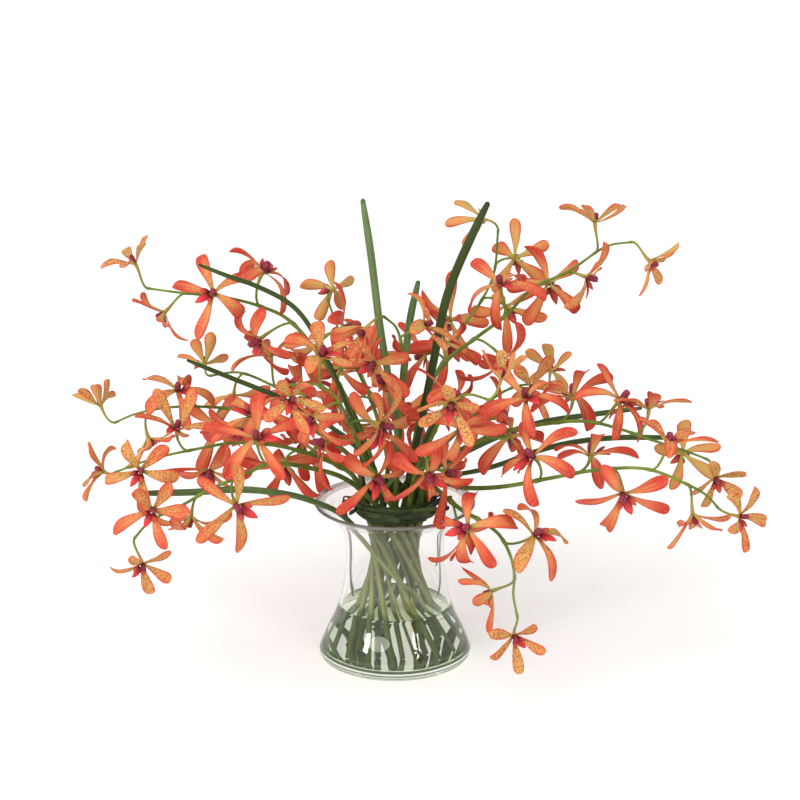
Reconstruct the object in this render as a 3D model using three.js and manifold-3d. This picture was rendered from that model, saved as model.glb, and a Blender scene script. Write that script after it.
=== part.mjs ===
// Cut vanda orchids in a flared glass vase: sixteen flowering sprays and nine long round leaves stand
// in water, twisted into one bundle that a raffia tie holds at the mouth of the vase.
//
// Millimetres, +Z up. The origin is the centre of the vase's foot, on the surface it stands on.
// -Y is the front, and +X is to the right of somebody who looks at the front.

import * as THREE from "three";
import { mergeVertices } from "three/addons/utils/BufferGeometryUtils.js";
import Module from "manifold-3d";

const wasm = await Module();
wasm.setup();

const degrees = Math.PI / 180;
const up = new THREE.Vector3(0, 0, 1);
const front = new THREE.Vector3(0, -1, 0);

// The vase, as radius and height down its outside
const vase = {
  footRadius: 75.5,
  footCorner: 10,
  outside: [
    [75.5, 10],
    [67.5, 30],
    [60, 46],
    [53.5, 66],
    [49.4, 90],
    [48.6, 112],
    [50.5, 130],
    [57.5, 144],
    [68, 154],
    [78.5, 161],
  ],
  wall: 3,
  floor: 9,
  sides: 30,
  outsideSteps: 9,
  insideSteps: 7,
};

const water = { level: 56, gap: 0.3, holeGap: 0.45 };

// The bundle: every stem is one straight ruling of a twisted sheaf, from its cut foot to the tie
const bundle = {
  footGap: 0.3,
  tieHeight: 160,
  twist: -115,
  lead: -18,
  rings: {
    outer: { foot: 56, tie: 31, firstAzimuth: 15 },
    inner: { foot: 35, tie: 19.5, firstAzimuth: 4 },
  },
};

const stem = { footRadius: 3, tieRadius: 2.9, tipRadius: 1.2, sides: 5, ringEvery: 12 };
const leafShape = {
  sides: 5,
  ringEvery: 10,
  tipShare: 0.05,
  tipSize: 0.42,
  footShare: 0.7,
  fullFrom: 0.55,
  wetShare: 0.14,
};

const tie = {
  low: 149,
  high: 169,
  thickness: 4.5,
  ridge: 1.1,
  ridges: 2,
  sides: 18,
  ends: 9,
  endReach: 13,
  strandRadius: 0.9,
  strands: [
    { azimuth: 172, low: 60 },
    { azimuth: 196, low: 74 },
    { azimuth: -9, low: 66 },
    { azimuth: 13, low: 92 },
  ],
};

// Routes above the tie. Each spray carries its blooms at equal steps, counted from its tip.
// A piece that is untied leaves the sheaf below the tie, at that share of the way up to it
const sprays = [
  {
    name: "spray_top_left",
    ring: "inner",
    blooms: 7,
    route: [
      [-22, 10, 198],
      [-50, 19, 268],
      [-77, 25, 310],
      [-105, 30, 341],
      [-134, 32, 354],
      [-168, 30, 363],
      [-205, 26, 368],
      [-240, 22, 374],
    ],
  },
  {
    name: "spray_left_upper",
    ring: "outer",
    blooms: 7,
    route: [
      [-40, 30, 193],
      [-65, 50, 210],
      [-105, 65, 226],
      [-145, 75, 232],
      [-190, 80, 235],
      [-230, 80, 234],
      [-262, 76, 228],
      [-280, 72, 221],
    ],
  },
  {
    name: "spray_left_middle",
    ring: "outer",
    blooms: 6,
    route: [
      [-40, -5, 190],
      [-75, -15, 214],
      [-115, -25, 229],
      [-155, -32, 234],
      [-195, -38, 229],
      [-235, -40, 220],
      [-270, -40, 207],
    ],
  },
  {
    name: "spray_left_lower",
    ring: "outer",
    blooms: 5,
    route: [
      [-45, -45, 200],
      [-80, -70, 221],
      [-119, -90, 232],
      [-145, -105, 225],
      [-173, -115, 216],
      [-200, -122, 202],
      [-230, -128, 188],
      [-245, -130, 172],
    ],
  },
  {
    name: "spray_front_left",
    ring: "outer",
    blooms: 6,
    route: [
      [-23, -50, 210],
      [-35, -85, 252],
      [-45, -115, 288],
      [-57, -140, 317],
      [-73, -160, 333],
      [-95, -175, 337],
    ],
  },
  {
    name: "spray_front_right",
    ring: "outer",
    blooms: 6,
    route: [
      [20, -50, 210],
      [33, -85, 252],
      [45, -115, 288],
      [57, -140, 312],
      [70, -160, 323],
      [85, -175, 323],
    ],
  },
  {
    name: "spray_drooping",
    ring: "outer",
    blooms: 5,
    route: [
      [30, -48, 199],
      [50, -62, 188],
      [65, -78, 181],
      [83, -95, 176],
      [99, -110, 168],
      [109, -124, 153],
      [113, -133, 136],
      [112, -138, 118],
      [116, -142, 97],
    ],
  },
  {
    name: "spray_right_lower",
    ring: "outer",
    blooms: 6,
    route: [
      [35, -30, 193],
      [70, -61, 198],
      [105, -85, 208],
      [145, -100, 221],
      [193, -115, 235],
      [236, -125, 239],
      [270, -132, 228],
      [291, -135, 217],
      [303, -135, 204],
    ],
  },
  {
    name: "spray_right_middle",
    ring: "outer",
    blooms: 7,
    route: [
      [25, -12, 198],
      [60, -28, 224],
      [100, -42, 247],
      [145, -52, 260],
      [182, -60, 265],
      [209, -66, 261],
      [245, -72, 250],
      [278, -76, 240],
      [298, -76, 232],
    ],
  },
  {
    name: "spray_top_right",
    ring: "inner",
    blooms: 7,
    route: [
      [17, 10, 196],
      [30, 15, 268],
      [50, 22, 300],
      [75, 28, 319],
      [108, 34, 343],
      [135, 38, 370],
      [169, 40, 386],
      [206, 38, 412],
      [230, 35, 417],
    ],
  },
  {
    name: "spray_top_back",
    ring: "inner",
    blooms: 6,
    route: [
      [15, 19, 194],
      [27, 45, 243],
      [42, 65, 276],
      [58, 78, 297],
      [68, 85, 317],
      [86, 92, 342],
      [98, 96, 368],
      [102, 94, 414],
    ],
  },
  {
    name: "spray_back_right",
    ring: "outer",
    blooms: 5,
    route: [
      [20, 32, 184],
      [55, 85, 199],
      [80, 121, 212],
      [105, 145, 227],
      [130, 160, 233],
      [155, 168, 230],
    ],
  },
  {
    name: "spray_back",
    ring: "outer",
    blooms: 4,
    route: [
      [0, 37, 186],
      [-3, 90, 197],
      [-10, 130, 211],
      [-17, 160, 219],
      [-25, 182, 218],
    ],
  },
  {
    name: "spray_back_left",
    ring: "outer",
    blooms: 5,
    route: [
      [-20, 31, 186],
      [-55, 85, 204],
      [-90, 120, 224],
      [-125, 142, 238],
      [-160, 155, 248],
      [-190, 160, 243],
    ],
  },
  {
    name: "spray_centre_left",
    ring: "inner",
    blooms: 4,
    route: [
      [-7, 20, 193],
      [-20, 50, 241],
      [-35, 72, 271],
      [-50, 88, 297],
      [-60, 98, 320],
      [-67, 102, 340],
    ],
  },
  {
    name: "spray_centre_front",
    ring: "inner",
    blooms: 5,
    route: [
      [3, -10, 208],
      [7, -30, 266],
      [9, -50, 309],
      [7, -68, 341],
      [1, -82, 365],
      [-10, -92, 378],
    ],
  },
];

const leaves = [
  {
    name: "leaf_tall",
    ring: "inner",
    radius: 3.9,
    shortBy: 2,
    route: [
      [3, 5, 192],
      [-3, 8, 265],
      [-15, 10, 343],
      [-23, 10, 411],
      [-32, 10, 474],
    ],
  },
  {
    name: "leaf_short_upright",
    ring: "inner",
    radius: 3.8,
    route: [
      [1, 13, 205],
      [5, 22, 245],
      [9, 31, 289],
      [15, 38, 339],
      [23, 40, 377],
    ],
  },
  {
    name: "leaf_broad",
    ring: "inner",
    radius: 4.3,
    shortBy: 4,
    route: [
      [16, -8, 192],
      [24, -18, 242],
      [36, -27, 308],
      [50, -32, 382],
      [75, -32, 445],
      [93, -30, 482],
    ],
  },
  {
    name: "leaf_front_arched",
    ring: "inner",
    radius: 3.7,
    route: [
      [19, -25, 186],
      [24, -39, 217],
      [31, -57, 247],
      [43, -69, 272],
      [60, -75, 279],
    ],
  },
  {
    name: "leaf_left_middle",
    ring: "outer",
    radius: 2.5,
    route: [
      [-35, 12, 211],
      [-65, 22, 234],
      [-105, 28, 257],
      [-164, 30, 282],
      [-204, 30, 299],
    ],
  },
  {
    name: "leaf_left_upper",
    ring: "inner",
    radius: 2.4,
    route: [
      [-21, -7, 194],
      [-40, -7, 246],
      [-65, -5, 309],
      [-95, -12, 363],
      [-134, -18, 388],
      [-155, -20, 396],
      [-187, -20, 409],
    ],
  },
  {
    name: "leaf_left_low",
    ring: "outer",
    radius: 3.4,
    untied: 0.4,
    heading: 211,
    route: [
      [4, -37, 93],
      [-17, -36, 118],
      [-33, -32, 139],
      [-43, -35, 153],
      [-57, -40, 167],
      [-74, -46, 177],
      [-97, -52, 187],
      [-145, -60, 196],
      [-195, -62, 194],
      [-248, -60, 192],
    ],
  },
  {
    name: "leaf_right_upper",
    ring: "outer",
    radius: 2.8,
    route: [
      [30, 12, 186],
      [65, 35, 199],
      [105, 50, 214],
      [145, 60, 225],
      [199, 62, 233],
      [246, 60, 240],
    ],
  },
  {
    name: "leaf_right_low",
    ring: "outer",
    radius: 2.8,
    route: [
      [35, -4, 185],
      [84, 4, 194],
      [105, 8, 199],
      [141, 10, 212],
      [171, 10, 220],
      [215, 5, 227],
      [276, -10, 232],
    ],
  },
];

// A bloom, seen from its front: angles run from its right, round its column
const bloomShape = {
  coreRadius: 3.2,
  coreDepth: 3,
  corners: [56, 124, 193, 249, 291, 347],
  columnLength: 8,
  columnRadius: 3.4,
  pedicelRadius: 1.5,
  pedicelReach: 17,
  neck: 11,
  tepals: [
    { angle: 22, length: 33, width: 12.5 },
    { angle: 90, length: 35, width: 11.5 },
    { angle: 158, length: 33, width: 12.5 },
    { angle: 228, length: 34, width: 11.5 },
    { angle: 312, length: 34, width: 11.5 },
  ],
  lip: { angle: 270, length: 15, width: 8, opening: 40, curl: 10, sway: 0 },
  thickness: 1.2,
  widest: 0.64,
  tipWidth: 0.55,
  samples: [
    [0.15, 0.45],
    [0.36, 0.6],
    [0.58, 0.85],
    [0.79, 0.85],
    [1, 0.55],
  ],
  tipSize: 0.92,
  fullSize: 1.28,
  fullSizeFrom: 3,
  youngCount: 3,
  spacing: 37,
};

// How a bloom is turned until it hangs clear of everything round it
const clearance = {
  wanted: 7.9,
  spread: 2,
  tries: 90,
  reach: 50,
  sampleStep: 5,
  chunk: 8,
  rimStep: 6,
  rim: [
    [42, 158],
    [44, 172],
    [58, 144],
    [68, 154],
    [73, 158],
    [78, 162],
  ],
};

// The stem's centre line

function slotAngles() {
  const angles = new Map();
  for (const [ring, sizes] of Object.entries(bundle.rings)) {
    const members = [...sprays, ...leaves].filter((piece) => piece.ring === ring);
    const azimuth = (piece) => {
      const [x, y] = piece.route[2];
      return piece.heading ?? (Math.atan2(y, x) / degrees + 360) % 360;
    };
    members.sort((a, b) => azimuth(a) - azimuth(b));
    members.forEach((piece, rank) => {
      const step = 360 / members.length;
      angles.set(piece.name, sizes.firstAzimuth + rank * step - bundle.lead);
    });
  }
  return angles;
}

const slots = slotAngles();

function ringPoint(radius, angle, height) {
  return new THREE.Vector3(
    radius * Math.cos(angle * degrees),
    radius * Math.sin(angle * degrees),
    height,
  );
}

function footRadius(piece) {
  return piece.radius ? piece.radius * leafShape.footShare : stem.footRadius;
}

function centreLine(piece) {
  const ring = bundle.rings[piece.ring];
  const slot = slots.get(piece.name);
  const foot = ringPoint(ring.foot, slot - bundle.twist, vase.floor);
  const held = ringPoint(ring.tie, slot, bundle.tieHeight);
  const sideways = Math.hypot(held.x - foot.x, held.y - foot.y);
  const lean = sideways / held.distanceTo(foot);
  foot.z += bundle.footGap + footRadius(piece) * lean;
  const top = piece.untied ?? 1;
  const points = [
    foot,
    foot.clone().lerp(held, 0.35 * top),
    foot.clone().lerp(held, 0.7 * top),
    foot.clone().lerp(held, top),
    ...piece.route.map((p) => new THREE.Vector3(...p)),
  ];
  const curve = new THREE.CatmullRomCurve3(points);
  return curve.getPoints((points.length - 1) * 16);
}

function pathLengths(line) {
  const lengths = [0];
  for (let i = 1; i < line.length; i++)
    lengths.push(lengths[i - 1] + line[i].distanceTo(line[i - 1]));
  return lengths;
}

function pointAlong(line, lengths, distance) {
  let i = 1;
  while (i < line.length - 1 && lengths[i] < distance) i++;
  const share = (distance - lengths[i - 1]) / (lengths[i] - lengths[i - 1]);
  const point = line[i - 1].clone().lerp(line[i], share);
  const tangent = line[i].clone().sub(line[i - 1]).normalize();
  return { point, tangent };
}

// Solids

function toSolid(geometry) {
  const plain = geometry.clone();
  plain.deleteAttribute("normal");
  plain.deleteAttribute("uv");
  const merged = mergeVertices(plain, 1e-4);
  const index = merged.index.array;
  const kept = [];
  for (let i = 0; i < index.length; i += 3) {
    const [a, b, c] = index.slice(i, i + 3);
    if (a !== b && b !== c && c !== a) kept.push(a, b, c);
  }
  return new wasm.Manifold(
    new wasm.Mesh({
      numProp: 3,
      vertProperties: new Float32Array(merged.attributes.position.array),
      triVerts: new Uint32Array(kept),
    }),
  );
}

function fromSolid(solid) {
  const { numProp, numVert, vertProperties, triVerts } = solid.getMesh();
  const positions = new Float32Array(numVert * 3);
  for (let i = 0; i < numVert; i++)
    positions.set(vertProperties.subarray(i * numProp, i * numProp + 3), i * 3);
  const geometry = new THREE.BufferGeometry();
  geometry.setAttribute("position", new THREE.BufferAttribute(positions, 3));
  geometry.setIndex(new THREE.BufferAttribute(new Uint32Array(triVerts), 1));
  geometry.computeVertexNormals();
  return geometry;
}

// Where a tube along a line has its rings: few in the straight sheaf, and even ones above it
function ringStops(line, ringEvery) {
  const stops = [0, 32];
  for (let i = 48; i < line.length - 1; i += ringEvery) stops.push(i);
  if (line.length - 1 - stops.at(-1) < ringEvery / 2) stops.pop();
  stops.push(line.length - 1);
  return stops;
}

// A tapered tube along a line: a unit cylinder whose rings are carried onto it
function tube(line, radiusAt, sides, stops) {
  const rings = [];
  let side = new THREE.Vector3(1, 0, 0);
  for (const i of stops) {
    const before = line[Math.max(i - 1, 0)];
    const after = line[Math.min(i + 1, line.length - 1)];
    const along = after.clone().sub(before).normalize();
    side = side.clone().addScaledVector(along, -side.dot(along)).normalize();
    const share = i / (line.length - 1);
    const across = along.clone().cross(side);
    rings.push({ centre: line[i], side, across, radius: radiusAt(share) });
  }
  const geometry = new THREE.CylinderGeometry(1, 1, 1, sides, rings.length - 1);
  const position = geometry.attributes.position;
  for (let i = 0; i < position.count; i++) {
    const ring = rings[Math.round((position.getY(i) + 0.5) * (rings.length - 1))];
    const moved = ring.centre
      .clone()
      .addScaledVector(ring.side, position.getZ(i) * ring.radius)
      .addScaledVector(ring.across, position.getX(i) * ring.radius);
    position.setXYZ(i, moved.x, moved.y, moved.z);
  }
  return toSolid(geometry);
}

function lathe(profile, sides) {
  const geometry = new THREE.LatheGeometry(
    profile.map(([radius, height]) => new THREE.Vector2(radius, height)),
    sides,
  );
  geometry.rotateX(Math.PI / 2);
  return toSolid(geometry);
}

// The vase and its water

const outerWall = new THREE.SplineCurve(vase.outside.map(([r, z]) => new THREE.Vector2(r, z)));

function wallProfile(inset, steps = vase.outsideSteps) {
  const points = [];
  for (let i = 0; i <= steps; i++) {
    const share = i / steps;
    const point = outerWall.getPoint(share);
    const along = outerWall.getTangent(share);
    points.push([point.x - along.y * inset, point.y + along.x * inset]);
  }
  return points;
}

function innerRadius(height, inset) {
  const wall = wallProfile(inset, vase.insideSteps);
  for (let i = 1; i < wall.length; i++) {
    const [r0, z0] = wall[i - 1];
    const [r1, z1] = wall[i];
    if (height <= z1) return r0 + ((r1 - r0) * (height - z0)) / (z1 - z0);
  }
  return wall.at(-1)[0];
}

function footArc() {
  const centre = [vase.footRadius - vase.footCorner, vase.footCorner];
  return [-90, -60, -30].map((angle) => [
    centre[0] + vase.footCorner * Math.cos(angle * degrees),
    centre[1] + vase.footCorner * Math.sin(angle * degrees),
  ]);
}

function makeVase() {
  const inner = wallProfile(vase.wall, vase.insideSteps).filter(([, z]) => z > vase.floor + 6);
  const floorEdge = innerRadius(vase.floor + 3, vase.wall);
  const profile = [
    [0, 0],
    ...footArc(),
    ...wallProfile(0),
    ...inner.reverse(),
    [floorEdge, vase.floor + 4],
    [floorEdge - 5, vase.floor],
    [0, vase.floor],
  ];
  return lathe(profile, vase.sides);
}

function makeWater(lines) {
  const low = vase.floor + water.gap;
  const inset = vase.wall + water.gap;
  const floorEdge = innerRadius(vase.floor + 3, inset);
  const wet = (z) => z > vase.floor + 6 && z < water.level - 1;
  const sides = wallProfile(inset, vase.insideSteps).filter(([, z]) => wet(z));
  const profile = [
    [0, low],
    [floorEdge - 5 - water.gap, low],
    [floorEdge - water.gap, vase.floor + 4.5],
    ...sides,
    [innerRadius(water.level, inset), water.level],
    [0, water.level],
  ];
  let body = lathe(profile, vase.sides);
  for (const { line, wetRadius } of lines) {
    const foot = line[0];
    const above = line[32].clone().sub(foot).normalize();
    const hole = [
      foot.clone().addScaledVector(above, -3 * wetRadius),
      foot.clone().addScaledVector(above, (water.level * 1.5 - foot.z) / above.z),
    ];
    body = body.subtract(tube(hole, () => wetRadius + water.holeGap, stem.sides, [0, 1]));
  }
  return body;
}

// Stems and leaves

function stemRadius(share, tieShare) {
  if (share < tieShare)
    return THREE.MathUtils.lerp(stem.footRadius, stem.tieRadius, share / tieShare);
  return THREE.MathUtils.lerp(stem.tieRadius, stem.tipRadius, (share - tieShare) / (1 - tieShare));
}

function makeStem(line, routeCount) {
  const tieShare = 3 / (3 + routeCount);
  const radiusAt = (share) => stemRadius(share, tieShare);
  return tube(line, radiusAt, stem.sides, ringStops(line, stem.ringEvery));
}

function leafRadius(leaf, share) {
  const { tipShare, tipSize, footShare, fullFrom } = leafShape;
  if (share > 1 - tipShare)
    return leaf.radius * THREE.MathUtils.lerp(tipSize, 1, Math.sqrt((1 - share) / tipShare));
  return leaf.radius * THREE.MathUtils.lerp(footShare, 1, Math.min(share / fullFrom, 1));
}

// Blooms

function random(seed) {
  let state = seed >>> 0;
  return () => {
    state = (state + 0x6d2b79f5) >>> 0;
    let t = Math.imul(state ^ (state >>> 15), 1 | state);
    t = (t + Math.imul(t ^ (t >>> 7), 61 | t)) ^ t;
    return ((t ^ (t >>> 14)) >>> 0) / 4294967296;
  };
}

function perpendicular(vector, axis) {
  return vector.clone().addScaledVector(axis, -vector.dot(axis)).normalize();
}

// One way to hang a bloom: turned round the stem, facing away from it and somewhat to the front.
// A young one is a cup, and the tepals of an old one bend back
function drawBloom(spot, spiral, size, youth, wildness, next) {
  const { point, tangent } = spot;
  const turn = (spiral + (next() - 0.5) * wildness) * degrees;
  const level = perpendicular(Math.abs(tangent.z) < 0.9 ? up : front, tangent);
  const cross = tangent.clone().cross(level);
  const away = level.multiplyScalar(Math.cos(turn)).addScaledVector(cross, Math.sin(turn));
  const viewer = 0.4 * THREE.MathUtils.clamp((90 - point.y) / 100, 0, 1);
  const outward = new THREE.Vector3(point.x, point.y, 0).normalize();
  const facing = away
    .clone()
    .multiplyScalar(0.7)
    .addScaledVector(outward, 0.35)
    .addScaledVector(front, viewer)
    .add(new THREE.Vector3(next() - 0.5, next() - 0.5, next() - 0.5).multiplyScalar(1.2))
    .normalize();
  const reach = bloomShape.pedicelReach * size * (0.85 + 0.35 * next());
  const departure = away.clone().addScaledVector(tangent, 0.6).normalize();
  const elbow = point.clone().addScaledVector(departure, reach);
  const centre = elbow.clone().addScaledVector(facing, bloomShape.neck * size);
  const roll = (next() - 0.5) * 150 * degrees;
  const highest = perpendicular(Math.abs(facing.z) < 0.95 ? up : tangent, facing);
  const rightmost = highest.clone().cross(facing);
  const top = highest
    .clone()
    .multiplyScalar(Math.cos(roll))
    .addScaledVector(rightmost, Math.sin(roll));
  const right = top.clone().cross(facing);
  const opening = 6 + 24 * next() + 16 * youth;
  const curl = -70 + 70 * next() + 60 * youth;
  const tepals = bloomShape.tepals.map(({ angle, length, width }) => ({
    angle: angle + (next() - 0.5) * 14,
    length: length * (0.9 + 0.2 * next()),
    width,
    opening: opening + (next() - 0.5) * 26,
    curl: curl + (next() - 0.5) * 80,
    sway: (next() - 0.5) * 10,
  }));
  return { foot: point, elbow, centre, facing, top, right, size, tepals };
}

// The middle of a tepal at a share of its length, with its side and its face
function tepalSpot(bloom, tepal, share) {
  const angle = tepal.angle * degrees;
  const out = bloom.right
    .clone()
    .multiplyScalar(Math.cos(angle))
    .addScaledVector(bloom.top, Math.sin(angle));
  const side = bloom.top
    .clone()
    .multiplyScalar(Math.cos(angle))
    .addScaledVector(bloom.right, -Math.sin(angle));
  const length = tepal.length * bloom.size;
  const opening = tepal.opening * degrees;
  const sweep = (tepal.curl - tepal.opening) * degrees;
  const rise = opening + sweep * share;
  const across = (Math.sin(rise) - Math.sin(opening)) / sweep;
  const ahead = -(Math.cos(rise) - Math.cos(opening)) / sweep;
  const spot = bloom.centre
    .clone()
    .addScaledVector(out, bloomShape.coreRadius * bloom.size + length * across)
    .addScaledVector(side, tepal.sway * bloom.size * share * share)
    .addScaledVector(bloom.facing, length * ahead);
  const face = out
    .clone()
    .multiplyScalar(-Math.sin(rise))
    .addScaledVector(bloom.facing, Math.cos(rise));
  return { spot, side, face };
}

function pedicelPoint(bloom, share) {
  const { foot, elbow, centre } = bloom;
  const first = foot.clone().lerp(elbow, share);
  const second = elbow.clone().lerp(centre, share);
  return first.lerp(second, share);
}

function bloomSamples(bloom) {
  const arms = [...bloom.tepals, bloomShape.lip].map((arm) => {
    const points = [];
    for (const [share, breadth] of bloomShape.samples) {
      const { spot, side } = tepalSpot(bloom, arm, share);
      const reach = 0.5 * arm.width * bloom.size * breadth;
      for (const turn of [1, 0, -1]) points.push(spot.clone().addScaledVector(side, reach * turn));
    }
    return points;
  });
  const tip = bloom.centre.clone();
  tip.addScaledVector(bloom.facing, bloomShape.columnLength * bloom.size);
  const own = [...arms.flat(), tip, bloom.centre.clone()];
  const stalk = [0.3, 0.5, 0.7, 0.85].map((share) => pedicelPoint(bloom, share));
  return { own, stalk, outer: arms.map((points) => points.slice(3)) };
}

function addBody(bodies, points, owner) {
  const centre = new THREE.Vector3();
  for (const p of points) centre.add(p);
  centre.divideScalar(points.length);
  const radius = Math.max(...points.map((p) => p.distanceTo(centre)));
  bodies.push({ points, centre, radius, owner });
}

// The least distance between the outer parts of a bloom's tepals and lip
function leastSpread(outer) {
  let least = clearance.reach;
  for (let a = 0; a < outer.length; a++)
    for (let b = a + 1; b < outer.length; b++)
      for (const p of outer[a]) for (const q of outer[b]) least = Math.min(least, p.distanceTo(q));
  return least;
}

// The least distance from some points to every body but those that the test leaves out
function leastGap(points, near, leftOut) {
  let least = clearance.reach;
  for (const body of near) {
    if (leftOut(body)) continue;
    for (const p of points)
      for (const q of body.points) least = Math.min(least, p.distanceTo(q));
  }
  return least;
}

function hangBlooms(lines) {
  const bodies = [];
  for (const [name, line] of lines) {
    const lengths = pathLengths(line);
    const count = Math.floor(lengths.at(-1) / clearance.sampleStep);
    for (let first = 0; first <= count; first += clearance.chunk) {
      const points = [];
      for (let k = first; k <= Math.min(first + clearance.chunk - 1, count); k++)
        points.push(pointAlong(line, lengths, k * clearance.sampleStep).point);
      addBody(bodies, points, name);
    }
  }
  for (let angle = 0; angle < 360; angle += clearance.rimStep) {
    const rim = clearance.rim.map(([radius, height]) => ringPoint(radius, angle, height));
    addBody(bodies, rim, "vase");
  }
  const hung = new Map(sprays.map((spray) => [spray.name, []]));
  sprays.forEach((spray, number) => {
    const line = lines.get(spray.name);
    const lengths = pathLengths(line);
    for (let i = 0; i < spray.blooms; i++) {
      const next = random(number * 100 + i + 1);
      const spot = pointAlong(line, lengths, lengths.at(-1) - i * bloomShape.spacing - 1);
      const size = THREE.MathUtils.lerp(
        bloomShape.tipSize,
        bloomShape.fullSize,
        Math.min(i / bloomShape.fullSizeFrom, 1),
      );
      const youth = 1 - Math.min(i / bloomShape.youngCount, 1);
      const spiral = i * 137.5 + number * 60;
      let best = null;
      for (let attempt = 0; attempt < clearance.tries; attempt++) {
        const wildness = 60 + (300 * attempt) / clearance.tries;
        const bloom = drawBloom(spot, spiral, size, youth, wildness, next);
        const { own, stalk, outer } = bloomSamples(bloom);
        const reach = 45 * size + clearance.wanted;
        const near = bodies.filter(
          (body) => body.centre.distanceTo(bloom.centre) < body.radius + reach,
        );
        const apart = leastSpread(outer) >= clearance.spread;
        const gap = Math.min(
          apart ? clearance.reach : 0,
          leastGap(own, near, () => false),
          leastGap(stalk, near, (body) => body.owner === spray.name),
        );
        if (!best || gap > best.gap) best = { bloom, own, stalk, gap };
        if (gap >= clearance.wanted) break;
      }
      addBody(bodies, best.own, spray.name);
      addBody(bodies, best.stalk, spray.name);
      hung.get(spray.name).push({ ...best.bloom, gap: best.gap });
    }
  });
  return hung;
}

// One closed shape: a six-sided core whose faces run on into tepals, lip, column and pedicel
function makeBloom(bloom) {
  const positions = [];
  const triangles = [];
  const add = (point) => positions.push(point) - 1;
  const around = (centre, radius, angle, ahead) =>
    centre
      .clone()
      .addScaledVector(bloom.right, radius * Math.cos(angle * degrees))
      .addScaledVector(bloom.top, radius * Math.sin(angle * degrees))
      .addScaledVector(bloom.facing, ahead);

  const { lip, coreRadius, coreDepth, corners, thickness } = bloomShape;
  const arms = [...bloom.tepals.slice(0, 4), lip, bloom.tepals[4]];
  const half = (coreDepth / 2) * bloom.size;
  const radius = coreRadius * bloom.size;
  const frontRing = corners.map((angle) => add(around(bloom.centre, radius, angle, half)));
  const backRing = corners.map((angle) => add(around(bloom.centre, radius, angle, -half)));

  arms.forEach((arm, i) => {
    const from = (i + arms.length - 1) % arms.length;
    const root = [backRing[from], backRing[i], frontRing[i], frontRing[from]];
    const reach = 0.5 * arm.width * bloom.size;
    if (arm === lip) {
      closeOnEdge(root, tepalSpot(bloom, arm, 1), reach * bloomShape.tipWidth, add, triangles);
      return;
    }
    const middle = tepalSpot(bloom, arm, bloomShape.widest);
    const ring = [
      add(middle.spot.clone().addScaledVector(middle.face, -thickness / 2)),
      add(middle.spot.clone().addScaledVector(middle.side, reach)),
      add(middle.spot.clone().addScaledVector(middle.face, thickness / 2)),
      add(middle.spot.clone().addScaledVector(middle.side, -reach)),
    ];
    for (let k = 0; k < 4; k++) {
      const n = (k + 1) % 4;
      triangles.push(root[k], root[n], ring[k], root[n], ring[n], ring[k]);
    }
    const tip = tepalSpot(bloom, arm, 1);
    closeOnEdge(ring, tip, reach * bloomShape.tipWidth, add, triangles);
  });

  const columnAhead = half + bloomShape.columnLength * bloom.size;
  const columnRadius = bloomShape.columnRadius * bloom.size;
  const columnEnd = [0, 1, 2].map((j) => {
    const angle = (corners[2 * j] + corners[2 * j + 1]) / 2;
    return add(around(bloom.centre, columnRadius, angle, columnAhead));
  });
  joinSixToThree(frontRing, columnEnd, triangles, false);
  triangles.push(columnEnd[0], columnEnd[1], columnEnd[2]);

  let previous = backRing;
  let side = bloom.right;
  for (const share of [0.62, 0]) {
    const spot = pedicelPoint(bloom, share);
    const ahead = pedicelPoint(bloom, share + 0.02).sub(spot).normalize();
    side = perpendicular(side, ahead);
    const across = ahead.clone().cross(side);
    const ring = [0, 1, 2].map((j) => {
      const angle = ((corners[2 * j] + corners[2 * j + 1]) / 2) * degrees;
      const point = spot
        .clone()
        .addScaledVector(side, bloomShape.pedicelRadius * Math.cos(angle))
        .addScaledVector(across, bloomShape.pedicelRadius * Math.sin(angle));
      return add(point);
    });
    if (previous.length === 6) joinSixToThree(previous, ring, triangles, true);
    else
      for (let j = 0; j < 3; j++) {
        const n = (j + 1) % 3;
        triangles.push(ring[j], ring[n], previous[n], ring[j], previous[n], previous[j]);
      }
    previous = ring;
  }
  triangles.push(previous[2], previous[1], previous[0]);

  const geometry = new THREE.BufferGeometry().setFromPoints(positions);
  geometry.setIndex(triangles);
  return toSolid(geometry);
}

// A ring of a back corner, a far one, a front one and a near one runs out to a straight edge
function closeOnEdge([back, plus, face, minus], tip, reach, add, triangles) {
  const left = add(tip.spot.clone().addScaledVector(tip.side, reach));
  const right = add(tip.spot.clone().addScaledVector(tip.side, -reach));
  triangles.push(back, plus, left, plus, face, left, face, minus, right);
  triangles.push(minus, back, right, face, right, left, back, left, right);
}

// Joins a ring of six to a ring of three that lies ahead of it, or behind it
function joinSixToThree(six, three, triangles, behind) {
  for (let j = 0; j < 3; j++) {
    const a = six[2 * j];
    const b = six[2 * j + 1];
    const c = six[(2 * j + 2) % 6];
    const t = three[j];
    const u = three[(j + 1) % 3];
    const made = [
      [a, b, t],
      [b, u, t],
      [b, c, u],
    ];
    for (const [p, q, r] of made) triangles.push(...(behind ? [p, r, q] : [p, q, r]));
  }
}

function makeSpray(line, routeCount, blooms) {
  const parts = [makeStem(line, routeCount), ...blooms.map(makeBloom)];
  return wasm.Manifold.union(parts);
}

// The tie: a wound band with loose ends, and strands that hang into the vase

function sheafRadius(lines, height) {
  let widest = 0;
  for (const { line, radius } of lines.filter((stalk) => stalk.tied))
    for (const p of line)
      if (Math.abs(p.z - height) < 4 && Math.hypot(p.x, p.y) < 60)
        widest = Math.max(widest, Math.hypot(p.x, p.y) + radius * 1.15);
  return widest + 0.3;
}

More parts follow.
